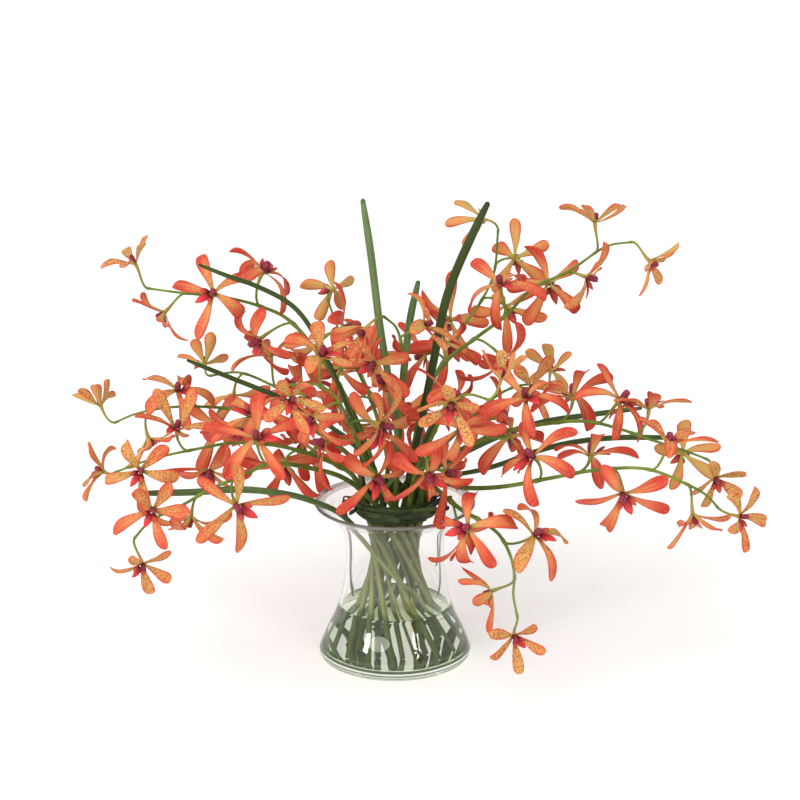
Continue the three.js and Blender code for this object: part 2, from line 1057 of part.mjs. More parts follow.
function makeTie(lines) {
  const { low, high, thickness, ridge, ridges, sides } = tie;
  const inner = [];
  const outer = [];
  const steps = 2 * ridges;
  for (let i = 0; i <= steps; i++) {
    const height = THREE.MathUtils.lerp(low, high, i / steps);
    const radius = sheafRadius(lines, height);
    if (i % steps === 0) inner.push([radius, height]);
    outer.push([radius + thickness + (i % 2 ? ridge : 0), height]);
  }
  const profile = [...outer, ...inner.reverse()];
  profile.push(profile[0]);
  const parts = [lathe(profile, sides)];
  const wrap = sheafRadius(lines, (low + high) / 2) + thickness;
  for (let i = 0; i < tie.ends; i++) {
    const next = random(700 + i);
    const angle = (360 / tie.ends) * i + 25 * next();
    const height = low + 6 + (high - low - 8) * next();
    const rise = 6 + 7 * next();
    const end = [
      ringPoint(wrap - 2, angle - 16, height),
      ringPoint(wrap + tie.endReach * 0.35, angle - 2, height + rise * 0.6),
      ringPoint(wrap + tie.endReach * 0.75, angle + 9, height + rise),
    ];
    parts.push(tube(end, (share) => 2.2 - 1.2 * share, 3, [0, 1, 2]));
  }
  for (const { azimuth, low: end } of tie.strands) {
    const strand = [
      ringPoint(wrap - 2, azimuth, high - 5),
      ringPoint(wrap + 9, azimuth, high - 4),
      ringPoint(wrap + 8, azimuth, high - 16),
      ringPoint(wrap + 3, azimuth, high - 45),
      ringPoint(wrap + 3, azimuth, end + 12),
      ringPoint(wrap + 1, azimuth, end),
    ];
    parts.push(tube(strand, () => tie.strandRadius, 3, [0, 1, 2, 3, 4, 5]));
  }
  return wasm.Manifold.union(parts);
}

// Everything in place

const lines = new Map([...sprays, ...leaves].map((piece) => [piece.name, centreLine(piece)]));
const hung = hangBlooms(lines);
const sheaf = [...sprays, ...leaves].map((piece) => ({
  line: lines.get(piece.name),
  radius: piece.radius ?? stem.footRadius,
  wetRadius: piece.radius ? leafRadius(piece, leafShape.wetShare) : stem.footRadius,
  tied: !piece.untied,
}));

const petalOrange = { color: 0xe8622c, roughness: 0.6, metalness: 0 };
const leafGreen = { color: 0x2f6b2a, roughness: 0.45, metalness: 0 };
const raffiaGreen = { color: 0x1e3d18, roughness: 0.8, metalness: 0 };
const seeThrough = { roughness: 0.02, metalness: 0, transparent: true };
const clearGlass = { ...seeThrough, color: 0xf4f8f7, opacity: 0.3 };
const clearWater = { ...seeThrough, color: 0xdcebe0, opacity: 0.4 };

const arrangement = new THREE.Group();

function place(name, solid, finish) {
  const mesh = new THREE.Mesh(fromSolid(solid), new THREE.MeshStandardMaterial(finish));
  mesh.name = name;
  arrangement.add(mesh);
}

place("vase", makeVase(), clearGlass);
place("water", makeWater(sheaf), clearWater);
place("raffia_tie", makeTie(sheaf), raffiaGreen);
for (const spray of sprays) {
  const line = lines.get(spray.name);
  place(spray.name, makeSpray(line, spray.route.length, hung.get(spray.name)), petalOrange);
}
for (const leaf of leaves) {
  const whole = lines.get(leaf.name);
  const line = whole.slice(0, whole.length - (leaf.shortBy ?? 0));
  const radiusAt = (share) => leafRadius(leaf, share);
  const stops = ringStops(line, leafShape.ringEvery);
  place(leaf.name, tube(line, radiusAt, leafShape.sides, stops), leafGreen);
}

export default arrangement;
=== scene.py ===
# Cut orchids in a flared glass vase: sixteen sprays and nine long round leaves in a raffia tie
# The part is laid out in millimetres, as in its source, and meshes, lights and camera are in metres

import math

import bmesh
import bpy
import numpy as np
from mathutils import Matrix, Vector


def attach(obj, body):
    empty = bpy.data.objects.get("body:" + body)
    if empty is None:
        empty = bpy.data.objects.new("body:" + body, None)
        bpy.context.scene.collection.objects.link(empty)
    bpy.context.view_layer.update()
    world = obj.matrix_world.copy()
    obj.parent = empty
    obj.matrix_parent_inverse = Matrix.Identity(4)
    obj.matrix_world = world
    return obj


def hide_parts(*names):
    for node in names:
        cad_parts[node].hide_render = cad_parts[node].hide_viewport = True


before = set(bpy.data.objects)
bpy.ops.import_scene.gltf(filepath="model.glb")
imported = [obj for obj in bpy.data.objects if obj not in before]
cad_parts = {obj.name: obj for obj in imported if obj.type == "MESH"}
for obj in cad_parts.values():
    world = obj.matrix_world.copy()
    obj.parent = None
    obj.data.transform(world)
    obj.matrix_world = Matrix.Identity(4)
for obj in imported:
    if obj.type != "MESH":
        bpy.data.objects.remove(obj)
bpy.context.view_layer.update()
print("loaded the packed model")

mm = 0.001
upward = np.array([0.0, 0.0, 1.0])
forward = np.array([0.0, -1.0, 0.0])

vase = {
    "outside": [
        (75.5, 10), (67.5, 30), (60, 46), (53.5, 66), (49.4, 90),
        (48.6, 112), (50.5, 130), (57.5, 144), (68, 154), (78.5, 161),
    ],
    "corner": 10, "innerCorner": 6, "wall": 3, "floor": 9, "rimFrom": 159.4, "rimBulge": 1.5,
    "glowTo": 16, "glowWithin": 73,  # the height and radius to which the foot glows
    "steps": 54, "turns": 120,
}

bundle = {
    "footGap": 0.3, "footRadius": 3,
    "leafFoot": 0.7,  # a leaf's foot, in shares of its radius
    "stations": (0.35, 0.7, 1),  # where a line is set between its foot and the tie
    "tieHeight": 160, "twist": -115, "lead": -18,
    "rings": {
        "outer": {"foot": 56, "tie": 31, "first": 15},
        "inner": {"foot": 35, "tie": 19.5, "first": 4},
    },
}

# ring, number of blooms, and the route above the tie
sprays = {
    "spray_top_left": ("inner", 7, [
        (-22, 10, 198), (-50, 19, 268), (-77, 25, 310), (-105, 30, 341), (-134, 32, 354),
        (-168, 30, 363), (-205, 26, 368), (-240, 22, 374),
    ]),
    "spray_left_upper": ("outer", 7, [
        (-40, 30, 193), (-65, 50, 210), (-105, 65, 226), (-145, 75, 232), (-190, 80, 235),
        (-230, 80, 234), (-262, 76, 228), (-280, 72, 221),
    ]),
    "spray_left_middle": ("outer", 6, [
        (-40, -5, 190), (-75, -15, 214), (-115, -25, 229), (-155, -32, 234), (-195, -38, 229),
        (-235, -40, 220), (-270, -40, 207),
    ]),
    "spray_left_lower": ("outer", 5, [
        (-45, -45, 200), (-80, -70, 221), (-119, -90, 232), (-145, -105, 225),
        (-173, -115, 216), (-200, -122, 202), (-230, -128, 188), (-245, -130, 172),
    ]),
    "spray_front_left": ("outer", 6, [
        (-23, -50, 210), (-35, -85, 252), (-45, -115, 288), (-57, -140, 317), (-73, -160, 333),
        (-95, -175, 337),
    ]),
    "spray_front_right": ("outer", 6, [
        (20, -50, 210), (33, -85, 252), (45, -115, 288), (57, -140, 312), (70, -160, 323),
        (85, -175, 323),
    ]),
    "spray_drooping": ("outer", 5, [
        (30, -48, 199), (50, -62, 188), (65, -78, 181), (83, -95, 176), (99, -110, 168),
        (109, -124, 153), (113, -133, 136), (112, -138, 118), (116, -142, 97),
    ]),
    "spray_right_lower": ("outer", 6, [
        (35, -30, 193), (70, -61, 198), (105, -85, 208), (145, -100, 221), (193, -115, 235),
        (236, -125, 239), (270, -132, 228), (291, -135, 217), (303, -135, 204),
    ]),
    "spray_right_middle": ("outer", 7, [
        (25, -12, 198), (60, -28, 224), (100, -42, 247), (145, -52, 260), (182, -60, 265),
        (209, -66, 261), (245, -72, 250), (278, -76, 240), (298, -76, 232),
    ]),
    "spray_top_right": ("inner", 7, [
        (17, 10, 196), (30, 15, 268), (50, 22, 300), (75, 28, 319), (108, 34, 343),
        (135, 38, 370), (169, 40, 386), (206, 38, 412), (230, 35, 417),
    ]),
    "spray_top_back": ("inner", 6, [
        (15, 19, 194), (27, 45, 243), (42, 65, 276), (58, 78, 297), (68, 85, 317),
        (86, 92, 342), (98, 96, 368), (102, 94, 414),
    ]),
    "spray_back_right": ("outer", 5, [
        (20, 32, 184), (55, 85, 199), (80, 121, 212), (105, 145, 227), (130, 160, 233),
        (155, 168, 230),
    ]),
    "spray_back": ("outer", 4, [
        (0, 37, 186), (-3, 90, 197), (-10, 130, 211), (-17, 160, 219), (-25, 182, 218),
    ]),
    "spray_back_left": ("outer", 5, [
        (-20, 31, 186), (-55, 85, 204), (-90, 120, 224), (-125, 142, 238), (-160, 155, 248),
        (-190, 160, 243),
    ]),
    "spray_centre_left": ("inner", 4, [
        (-7, 20, 193), (-20, 50, 241), (-35, 72, 271), (-50, 88, 297), (-60, 98, 320),
        (-67, 102, 340),
    ]),
    "spray_centre_front": ("inner", 5, [
        (3, -10, 208), (7, -30, 266), (9, -50, 309), (7, -68, 341), (1, -82, 365),
        (-10, -92, 378),
    ]),
}

# ring, radius, and the route above the tie
leaves = {
    "leaf_tall": ("inner", 3.9, [
        (3, 5, 192), (-3, 8, 265), (-15, 10, 343), (-23, 10, 411), (-32, 10, 474),
    ]),
    "leaf_short_upright": ("inner", 3.8, [
        (1, 13, 205), (5, 22, 245), (9, 31, 289), (15, 38, 339), (23, 40, 377),
    ]),
    "leaf_broad": ("inner", 4.3, [
        (16, -8, 192), (24, -18, 242), (36, -27, 308), (50, -32, 382), (75, -32, 445),
        (93, -30, 482),
    ]),
    "leaf_front_arched": ("inner", 3.7, [
        (19, -25, 186), (24, -39, 217), (31, -57, 247), (43, -69, 272), (60, -75, 279),
    ]),
    "leaf_left_middle": ("outer", 2.5, [
        (-35, 12, 211), (-65, 22, 234), (-105, 28, 257), (-164, 30, 282), (-204, 30, 299),
    ]),
    "leaf_left_upper": ("inner", 2.4, [
        (-21, -7, 194), (-40, -7, 246), (-65, -5, 309), (-95, -12, 363), (-134, -18, 388),
        (-155, -20, 396), (-187, -20, 409),
    ]),
    "leaf_left_low": ("outer", 3.4, [
        (4, -37, 93), (-17, -36, 118), (-33, -32, 139), (-43, -35, 153), (-57, -40, 167),
        (-74, -46, 177), (-97, -52, 187), (-145, -60, 196), (-195, -62, 194), (-248, -60, 192),
    ]),
    "leaf_right_upper": ("outer", 2.8, [
        (30, 12, 186), (65, 35, 199), (105, 50, 214), (145, 60, 225), (199, 62, 233),
        (246, 60, 240),
    ]),
    "leaf_right_low": ("outer", 2.8, [
        (35, -4, 185), (84, 4, 194), (105, 8, 199), (141, 10, 212), (171, 10, 220),
        (215, 5, 227), (276, -10, 232),
    ]),
}
routes = {**sprays, **leaves}
untied = {"leaf_left_low": (0.4, 211)}  # leaves the sheaf at this share of the way, with this heading


def unit(vector):
    return vector / math.sqrt(vector.dot(vector))


def squared(vector, axis):
    return unit(vector - axis * vector.dot(axis))


def mixed(a, b, share):
    return a + (b - a) * share


def clamped(value):
    return min(max(value, 0), 1)


def bezier(points, shares):
    s = np.array(shares)[:, None]
    while len(points) > 1:
        points = [mixed(a, b, s) for a, b in zip(points, points[1:])]
    return points[0]


def ringPoint(radius, angle, height):
    turn = math.radians(angle)
    return np.array([radius * math.cos(turn), radius * math.sin(turn), height])


def randomDraws(seed):
    state = seed & 0xFFFFFFFF

    def draw():
        nonlocal state
        state = (state + 0x6D2B79F5) & 0xFFFFFFFF
        t = (state ^ (state >> 15)) * (1 | state) & 0xFFFFFFFF
        t = (t + ((t ^ (t >> 7)) * (61 | t) & 0xFFFFFFFF) & 0xFFFFFFFF) ^ t
        return (t ^ (t >> 14)) / 4294967296

    return draw


seeds = {
    "ripenessAndStemShade": 5000, "tepals": 9000, "lips": 12000, "columns": 15000,
    "wraps": 2000, "ends": 2100, "strands": 2200,
}


def drawsFor(kind, number):
    return randomDraws(seeds[kind] + number)


def above(draw, least, more):
    return least + more * draw()


def swing(draw, spread):
    return (draw() - 0.5) * spread


# Where the stems run

def smoothLine(points, steps=16):
    ends = [2 * points[0] - points[1], *points, 2 * points[-1] - points[-2]]
    line = []
    for a, b, c, d in zip(ends, ends[1:], ends[2:], ends[3:]):
        before, span, after = (((q - p) ** 2).sum() ** 0.25 for p, q in ((a, b), (b, c), (c, d)))
        leave = ((b - a) / before - (c - a) / (before + span) + (c - b) / span) * span
        arrive = ((c - b) / span - (d - b) / (span + after) + (d - c) / after) * span
        for step in range(steps):
            t = step / steps
            bend = 3 * (c - b) - 2 * leave - arrive
            line.append(b + leave * t + bend * t ** 2 + (2 * (b - c) + leave + arrive) * t ** 3)
    return np.array([*line, points[-1]])


def slotAngles():
    angles = {}
    for ring, size in bundle["rings"].items():
        headings = {}
        for name, piece in routes.items():
            if piece[0] == ring:
                x, y, _ = piece[2][2]
                heading = math.degrees(math.atan2(y, x)) % 360
                headings[name] = untied[name][1] if name in untied else heading
        for rank, name in enumerate(sorted(headings, key=headings.get)):
            angles[name] = size["first"] + rank * 360 / len(headings) - bundle["lead"]
    return angles


def centreLine(name, piece, slot):
    ring = bundle["rings"][piece[0]]
    footRadius = piece[1] * bundle["leafFoot"] if name in leaves else bundle["footRadius"]
    foot = ringPoint(ring["foot"], slot - bundle["twist"], vase["floor"])
    held = ringPoint(ring["tie"], slot, bundle["tieHeight"])
    lean = math.hypot(held[0] - foot[0], held[1] - foot[1]) / math.dist(held, foot)
    foot[2] += bundle["footGap"] + footRadius * lean
    top = untied[name][0] if name in untied else 1
    sheaf = [foot] + [mixed(foot, held, share * top) for share in bundle["stations"]]
    return smoothLine(sheaf + [np.array(point, float) for point in piece[2]])


class Path:
    def __init__(self, line):
        self.line = line
        steps = np.linalg.norm(np.diff(line, axis=0), axis=1)
        self.lengths = np.concatenate([[0], np.cumsum(steps)])
        self.total = self.lengths[-1]

    def at(self, distance):
        i = int(np.searchsorted(self.lengths, distance))
        i = min(max(i, 1), len(self.line) - 1)
        share = (distance - self.lengths[i - 1]) / (self.lengths[i] - self.lengths[i - 1])
        a, b = self.line[i - 1], self.line[i]
        return mixed(a, b, share), unit(b - a)


slots = slotAngles()
paths = {name: Path(centreLine(name, piece, slots[name])) for name, piece in routes.items()}
print("laid", len(paths), "stems and leaves")


# How the blooms hang

bloomShape = {
    "coreRadius": 3.2, "columnLength": 8, "pedicelReach": 17, "neck": 11,
    "tepals": [(22, 33, 12.5), (90, 35, 11.5), (158, 33, 12.5), (228, 34, 11.5), (312, 34, 11.5)],
    "lip": (270, 15, 8, 40, 10, 0),
    "sizes": (0.92, 1.28), "fullSizeFrom": 3, "youngCount": 3, "spacing": 37, "tipGap": 1,
    "samples": [(0.15, 0.45), (0.36, 0.6), (0.58, 0.85), (0.79, 0.85), (1, 0.55)],
    "stalkSamples": (0.3, 0.5, 0.7, 0.85),
}

# which way a bloom faces and how its arms lie: pulls, least and more of a draw, and whole swings
hanging = {
    "away": 0.7, "outward": 0.35, "viewer": 0.4, "stray": 1.2, "ahead": 0.6,
    "frontTo": 90, "frontOver": 100,  # where the viewer's pull ends, and over what depth it fades
    "reach": (0.85, 0.35), "length": (0.9, 0.2), "opening": (6, 24), "curl": (-70, 70),
    "youngOpening": 16, "youngCurl": 60,
    "rollSwing": 150, "headingSwing": 14, "openingSwing": 26, "curlSwing": 80, "swaySwing": 10,
}

clearance = {
    "wanted": 7.9, "spread": 2, "tries": 90,
    "wildness": (60, 300),  # how far a bloom may turn round its stem, and how much more in the end
    "spiral": 137.5, "sprayTurn": 60,
    "reach": 50, "bloomReach": 45, "step": 5, "chunk": 8, "rimStep": 6,
    "rim": [(42, 158), (44, 172), (58, 144), (68, 154), (73, 158), (78, 162)],
}


def drawBloom(point, tangent, spiral, size, youth, wildness, draw):
    turn = math.radians(spiral + swing(draw, wildness))
    level = squared(upward if abs(tangent[2]) < 0.9 else forward, tangent)
    away = level * math.cos(turn) + np.cross(tangent, level) * math.sin(turn)
    viewer = hanging["viewer"] * clamped((hanging["frontTo"] - point[1]) / hanging["frontOver"])
    outward = unit(np.array([point[0], point[1], 0]))
    stray = np.array([draw() - 0.5 for _ in range(3)]) * hanging["stray"]
    facing = unit(away * hanging["away"] + outward * hanging["outward"] + forward * viewer + stray)
    reach = bloomShape["pedicelReach"] * size * above(draw, *hanging["reach"])
    elbow = point + unit(away + tangent * hanging["ahead"]) * reach
    centre = elbow + facing * bloomShape["neck"] * size
    roll = math.radians(swing(draw, hanging["rollSwing"]))
    highest = squared(upward if abs(facing[2]) < 0.95 else tangent, facing)
    top = highest * math.cos(roll) + np.cross(highest, facing) * math.sin(roll)
    opening = above(draw, *hanging["opening"]) + hanging["youngOpening"] * youth
    curl = above(draw, *hanging["curl"]) + hanging["youngCurl"] * youth
    arms = []
    for angle, length, width in bloomShape["tepals"]:
        angle += swing(draw, hanging["headingSwing"])
        length *= above(draw, *hanging["length"])
        arms.append((
            angle, length, width, opening + swing(draw, hanging["openingSwing"]),
            curl + swing(draw, hanging["curlSwing"]), swing(draw, hanging["swaySwing"]),
        ))
    return {
        "foot": point, "elbow": elbow, "centre": centre, "facing": facing, "top": top,
        "right": np.cross(top, facing), "size": size, "arms": arms + [bloomShape["lip"]],
    }


# The middle of an arm at shares of its length, with its side and its face
def armPath(bloom, arm, shares):
    angle, length, _, opening, curl, sway = arm
    turn, opening, sweep = math.radians(angle), math.radians(opening), math.radians(curl - opening)
    out = bloom["right"] * math.cos(turn) + bloom["top"] * math.sin(turn)
    side = bloom["top"] * math.cos(turn) - bloom["right"] * math.sin(turn)
    size, facing = bloom["size"], bloom["facing"]
    rise = opening + sweep * shares
    core = bloomShape["coreRadius"] * size
    across = core + length * size * (np.sin(rise) - math.sin(opening)) / sweep
    ahead = length * size * (math.cos(opening) - np.cos(rise)) / sweep
    swayed = sway * size * shares ** 2
    spots = bloom["centre"] + np.outer(across, out) + np.outer(swayed, side) + np.outer(ahead, facing)
    faces = np.outer(-np.sin(rise), out) + np.outer(np.cos(rise), facing)
    return spots, side, faces


def nearest(a, b):
    return math.sqrt(((a[:, None] - b[None]) ** 2).sum(2).min())


def bloomSamples(bloom):
    shares, breadths = np.array(bloomShape["samples"]).T
    blades = []
    for arm in bloom["arms"]:
        spots, side, _ = armPath(bloom, arm, shares)
        edge = np.outer(0.5 * arm[2] * bloom["size"] * breadths, side)
        blades.append(np.stack([spots + edge, spots, spots - edge], 1).reshape(-1, 3))
    tip = bloom["centre"] + bloom["facing"] * bloomShape["columnLength"] * bloom["size"]
    own = np.concatenate([*blades, [tip, bloom["centre"]]])
    outer = [blade[3:] for blade in blades]
    spread = min(nearest(a, b) for i, a in enumerate(outer) for b in outer[i + 1:])
    stalk = bezier([bloom["foot"], bloom["elbow"], bloom["centre"]], bloomShape["stalkSamples"])
    return own, stalk, spread


def hangBlooms():
    bodies = []

    def addBody(points, owner):
        points = np.array(points)
        centre = points.mean(0)
        bodies.append((points, centre, np.linalg.norm(points - centre, axis=1).max(), owner))

    for name, path in paths.items():
        count = int(path.total // clearance["step"])
        beads = [path.at(k * clearance["step"])[0] for k in range(count + 1)]
        for first in range(0, count + 1, clearance["chunk"]):
            addBody(beads[first:first + clearance["chunk"]], name)
    for angle in range(0, 360, clearance["rimStep"]):
        addBody([ringPoint(radius, angle, height) for radius, height in clearance["rim"]], "vase")

    hung = {}
    for number, (name, (_, blooms, _)) in enumerate(sprays.items()):
        path = paths[name]
        hung[name] = []
        for i in range(blooms):
            draw = randomDraws(number * 100 + i + 1)
            place = path.total - i * bloomShape["spacing"] - bloomShape["tipGap"]
            point, tangent = path.at(place)
            size = mixed(*bloomShape["sizes"], min(i / bloomShape["fullSizeFrom"], 1))
            youth = 1 - min(i / bloomShape["youngCount"], 1)
            spiral = i * clearance["spiral"] + number * clearance["sprayTurn"]
            reach = clearance["bloomReach"] * size + clearance["wanted"]
            tame, wild = clearance["wildness"]
            best = None
            for attempt in range(clearance["tries"]):
                wildness = tame + wild * attempt / clearance["tries"]
                bloom = drawBloom(point, tangent, spiral, size, youth, wildness, draw)
                own, stalk, spread = bloomSamples(bloom)
                centre = bloom["centre"]
                near = [body for body in bodies if math.dist(body[1], centre) < body[2] + reach]
                others = [body[0] for body in near if body[3] != name]
                gap = clearance["reach"] if spread >= clearance["spread"] else 0
                if near:
                    gap = min(gap, nearest(own, np.concatenate([body[0] for body in near])))
                if others:
                    gap = min(gap, nearest(stalk, np.concatenate(others)))
                if best is None or gap > best[0]:
                    best = (gap, bloom, own, stalk)
                if gap >= clearance["wanted"]:
                    break
            addBody(best[2], name)
            addBody(best[3], name)
            hung[name].append({**best[1], "age": i, "seed": number * 100 + i, "ahead": tangent})
    return hung


hung = hangBlooms()
print("hung", sum(len(blooms) for blooms in hung.values()), "blooms")


# Materials

marks = ("along", "across", "ripenessAndStemShade", "tone")  # what each vertex tells its material


def maths(operation, swapped=False):
    def make(value, other):
        pair = (other, value) if swapped else (value, other)
        return value.recipe.node("ShaderNodeMath", dict(enumerate(pair)), operation=operation)

    return make


class Value:
    __add__ = __radd__ = maths("ADD")
    __sub__, __rsub__ = maths("SUBTRACT"), maths("SUBTRACT", True)
    __mul__, __pow__ = maths("MULTIPLY"), maths("POWER")

    def __init__(self, recipe, socket):
        self.recipe, self.socket = recipe, socket

    def __abs__(self):
        return maths("ABSOLUTE")(self, 0.0)


class Recipe:
    def __init__(self, name, **constants):
        self.material = bpy.data.materials.new(name)
        self.material.use_nodes = True
        self.tree = self.material.node_tree
        self.shader = self.tree.nodes["Principled BSDF"]
        for socket, value in constants.items():
            self.shader.inputs[socket.replace("_", " ")].default_value = value
        self.place = self.node("ShaderNodeTexCoord", {}, "Object")

    def node(self, kind, inputs, output=0, **settings):
        made = self.tree.nodes.new(kind)
        for key, value in settings.items():
            setattr(made, key, value)
        for key, value in inputs.items():
            self.feed(made.inputs[key], value)
        return Value(self, made.outputs[output])

    def feed(self, socket, value):
        if isinstance(value, Value):
            self.tree.links.new(value.socket, socket)
        elif socket.type == "RGBA":
            socket.default_value = (*value[:3], 1)
        else:
            socket.default_value = value

    def attributes(self, *names):
        return [self.node("ShaderNodeAttribute", {}, "Fac", attribute_name=name) for name in names]

    def height(self):
        return self.node("ShaderNodeSeparateXYZ", {0: self.place}, "Z")

    def noise(self, scale, detail, vector=None):
        inputs = {"Vector": vector or self.place, "Scale": scale, "Detail": detail}
        return self.node("ShaderNodeTexNoise", inputs)

    def cells(self, scale):
        inputs = {"Vector": self.place, "Scale": scale}
        return self.node("ShaderNodeTexVoronoi", inputs, "Distance")

    def ramp(self, factor, *stops):
        made = self.node("ShaderNodeValToRGB", {0: factor})
        elements = made.socket.node.color_ramp.elements
        while len(elements) < len(stops):
            elements.new(1)
        for element, (position, colour) in zip(elements, stops):
            element.position, element.color = position, (*colour, 1)
        return made

    def mix(self, factor, a, b):
        return self.node("ShaderNodeMix", {0: factor, 6: a, 7: b}, 2, data_type="RGBA")

    def between(self, value, low, high):
        inputs = {0: value, 1: low, 2: high}
        return self.node("ShaderNodeMapRange", inputs, interpolation_type="SMOOTHSTEP")

    def vector(self, x, y, z):
        return self.node("ShaderNodeCombineXYZ", {0: x, 1: y, 2: z})

    def finish(self, colour, roughness, height=None, distance=0.0, strength=0.0):
        self.feed(self.shader.inputs["Base Color"], colour)
        self.feed(self.shader.inputs["Roughness"], roughness)
        if height:
            inputs = {"Height": height, "Distance": distance, "Strength": strength}
            self.feed(self.shader.inputs["Normal"], self.node("ShaderNodeBump", inputs))
        return self.material

    # lets the light of lamps through, so that what stands in the glass is lit
    def passLight(self):
        shadow = self.node("ShaderNodeLightPath", {}, "Is Shadow Ray")
        clear = self.node("ShaderNodeBsdfTransparent", {"Color": (0.94, 0.955, 0.94)})
        glassy = Value(self, self.shader.outputs[0])
        joined = self.node("ShaderNodeMixShader", {0: shadow, 1: glassy, 2: clear})
        self.tree.links.new(joined.socket, self.tree.nodes["Material Output"].inputs["Surface"])
        return self.material


tepalColours = {
    "face": [
        (0.0, (0.51, 0.335, 0.085)), (0.28, (0.62, 0.28, 0.085)),
        (0.58, (0.67, 0.165, 0.058)), (0.92, (0.55, 0.045, 0.024)),
    ],
    "back": [
        (0.0, (0.50, 0.34, 0.085)), (0.25, (0.61, 0.275, 0.080)),
        (0.55, (0.63, 0.155, 0.055)), (0.92, (0.52, 0.044, 0.022)),
    ],
    "spots": (0.30, 0.036, 0.014),
    "flecks": (0.84, 0.38, 0.19),
    "greenRoot": (0.41, 0.37, 0.085),
    "redEdge": (0.56, 0.044, 0.026),
    "spotScale": 520,
}


# blush is how red a tepal is: more so towards its tip, its edges and with age, in streaks
def startTepal(name, patchScale):
    recipe = Recipe(name, Subsurface_Weight=0.2, Subsurface_Scale=0.002, Specular_IOR_Level=0.3)
    along, across, ripenessAndStemShade, tone = recipe.attributes(*marks)
    streaks = recipe.noise(1.0, 3, recipe.vector(across * 4.5, along * 1.1, tone * 40))
    patches, edge = recipe.noise(patchScale, 3), abs(across)
    grown = along * (0.36 + ripenessAndStemShade * 0.6) + ripenessAndStemShade * 0.3 + edge ** 3 * 0.28
    blush = grown + (patches - 0.5) * 0.4 + (streaks - 0.5) + (tone - 0.5) * 0.3 - 0.14
    return recipe, along, edge, ripenessAndStemShade, streaks, patches, blush


def makeTepalFace():
    recipe, along, edge, ripenessAndStemShade, streaks, patches, blush = startTepal("tepal_face", 70)
    base = recipe.ramp(blush, *tepalColours["face"])
    cells = recipe.cells(tepalColours["spotScale"])
    spots = 1 - recipe.between(cells, 0.31, 0.44)
    shown = recipe.between(along, 0.02, 0.14) * (1 - recipe.between(along, 0.8, 1.0) * 0.75)
    flecks = (1 - recipe.between(cells, 0.25, 0.5)) * recipe.between(ripenessAndStemShade, 0.3, 0.9)
    colour = recipe.mix(flecks * 0.36, base, tepalColours["flecks"])
    colour = recipe.mix(spots * shown * (0.95 - ripenessAndStemShade * 0.6), colour, tepalColours["spots"])
    colour = recipe.mix(recipe.between(edge, 0.72, 1.0) * 0.45, colour, tepalColours["redEdge"])
    root = (1 - recipe.between(along, 0.0, 0.16)) * 0.6
    colour = recipe.mix(root, colour, tepalColours["greenRoot"])
    return recipe.finish(colour, 0.5 + patches * 0.2, streaks * 0.8 - spots * 0.2, 0.0006, 0.6)


def makeTepalBack():
    recipe, along, edge, _, streaks, patches, blush = startTepal("tepal_back", 60)
    veins = recipe.between(edge, 0.0, 0.12)
    colour = recipe.ramp(blush + 0.04, *tepalColours["back"])
    colour = recipe.mix((1 - veins) * 0.3, colour, tepalColours["greenRoot"])
    colour = recipe.mix(recipe.between(edge, 0.62, 1.0) * 0.5, colour, tepalColours["redEdge"])
    root = (1 - recipe.between(along, 0.0, 0.25)) * 0.7
    colour = recipe.mix(root, colour, tepalColours["greenRoot"])
    return recipe.finish(colour, 0.5 + patches * 0.2, streaks + veins * 0.5, 0.0006, 0.6)


def makeLip(name, light, dark):
    recipe = Recipe(name, Specular_IOR_Level=0.4)
    along, across, tone = recipe.attributes("along", "across", "tone")
    streaks = recipe.noise(1.0, 2, recipe.vector(across * 6, along, tone * 40))
    shade = recipe.between(along + (streaks - 0.5) * 0.9, 0.05, 0.75)
    colour = recipe.mix(shade, dark, light)
    return recipe.finish(colour, 0.42 + streaks * 0.2, streaks, 0.0005, 0.7)


def makeColumnSkin():
    recipe = Recipe("column_skin", Specular_IOR_Level=0.28)
    mottled = recipe.noise(420, 3)
    height = mottled + recipe.cells(900) * 0.6
    colour = recipe.ramp(mottled, (0.3, (0.13, 0.008, 0.020)), (0.7, (0.36, 0.045, 0.080)))
    return recipe.finish(colour, 0.45 + mottled * 0.25, height, 0.0008, 0.8)


# low is a painted shade: stems are darker green towards their foot, in the dense bundle, and high is
# their lighter green towards the tips
stalkColours = {
    "low": [
        (0.3, (0.030, 0.046, 0.004)), (0.55, (0.066, 0.090, 0.008)), (0.8, (0.135, 0.165, 0.026)),
    ],
    "high": [
        (0.3, (0.085, 0.135, 0.014)), (0.55, (0.16, 0.24, 0.030)), (0.8, (0.28, 0.35, 0.07)),
    ],
    # the next two are painted light: the paler look of stems seen through the glass, and their shade
    # in the water
    "paintedGlassPallor": (0.215, 0.24, 0.075),
    "wet": (0.028, 0.060, 0.001),
    "pale": (0.50, 0.27, 0.065),
}


# painted light: stems are painted paler inside the glass above the water, a painted glassy haze, and
# darker in the water, a painted shade
def inVase(recipe, colour):
    height = recipe.height()
    paintedGlassPallor = recipe.mix((1 - recipe.between(height, 0.140, 0.149)) * 0.7, colour, stalkColours["paintedGlassPallor"])
    return recipe.mix((1 - recipe.between(height, 0.050, 0.060)) * 0.9, paintedGlassPallor, stalkColours["wet"])


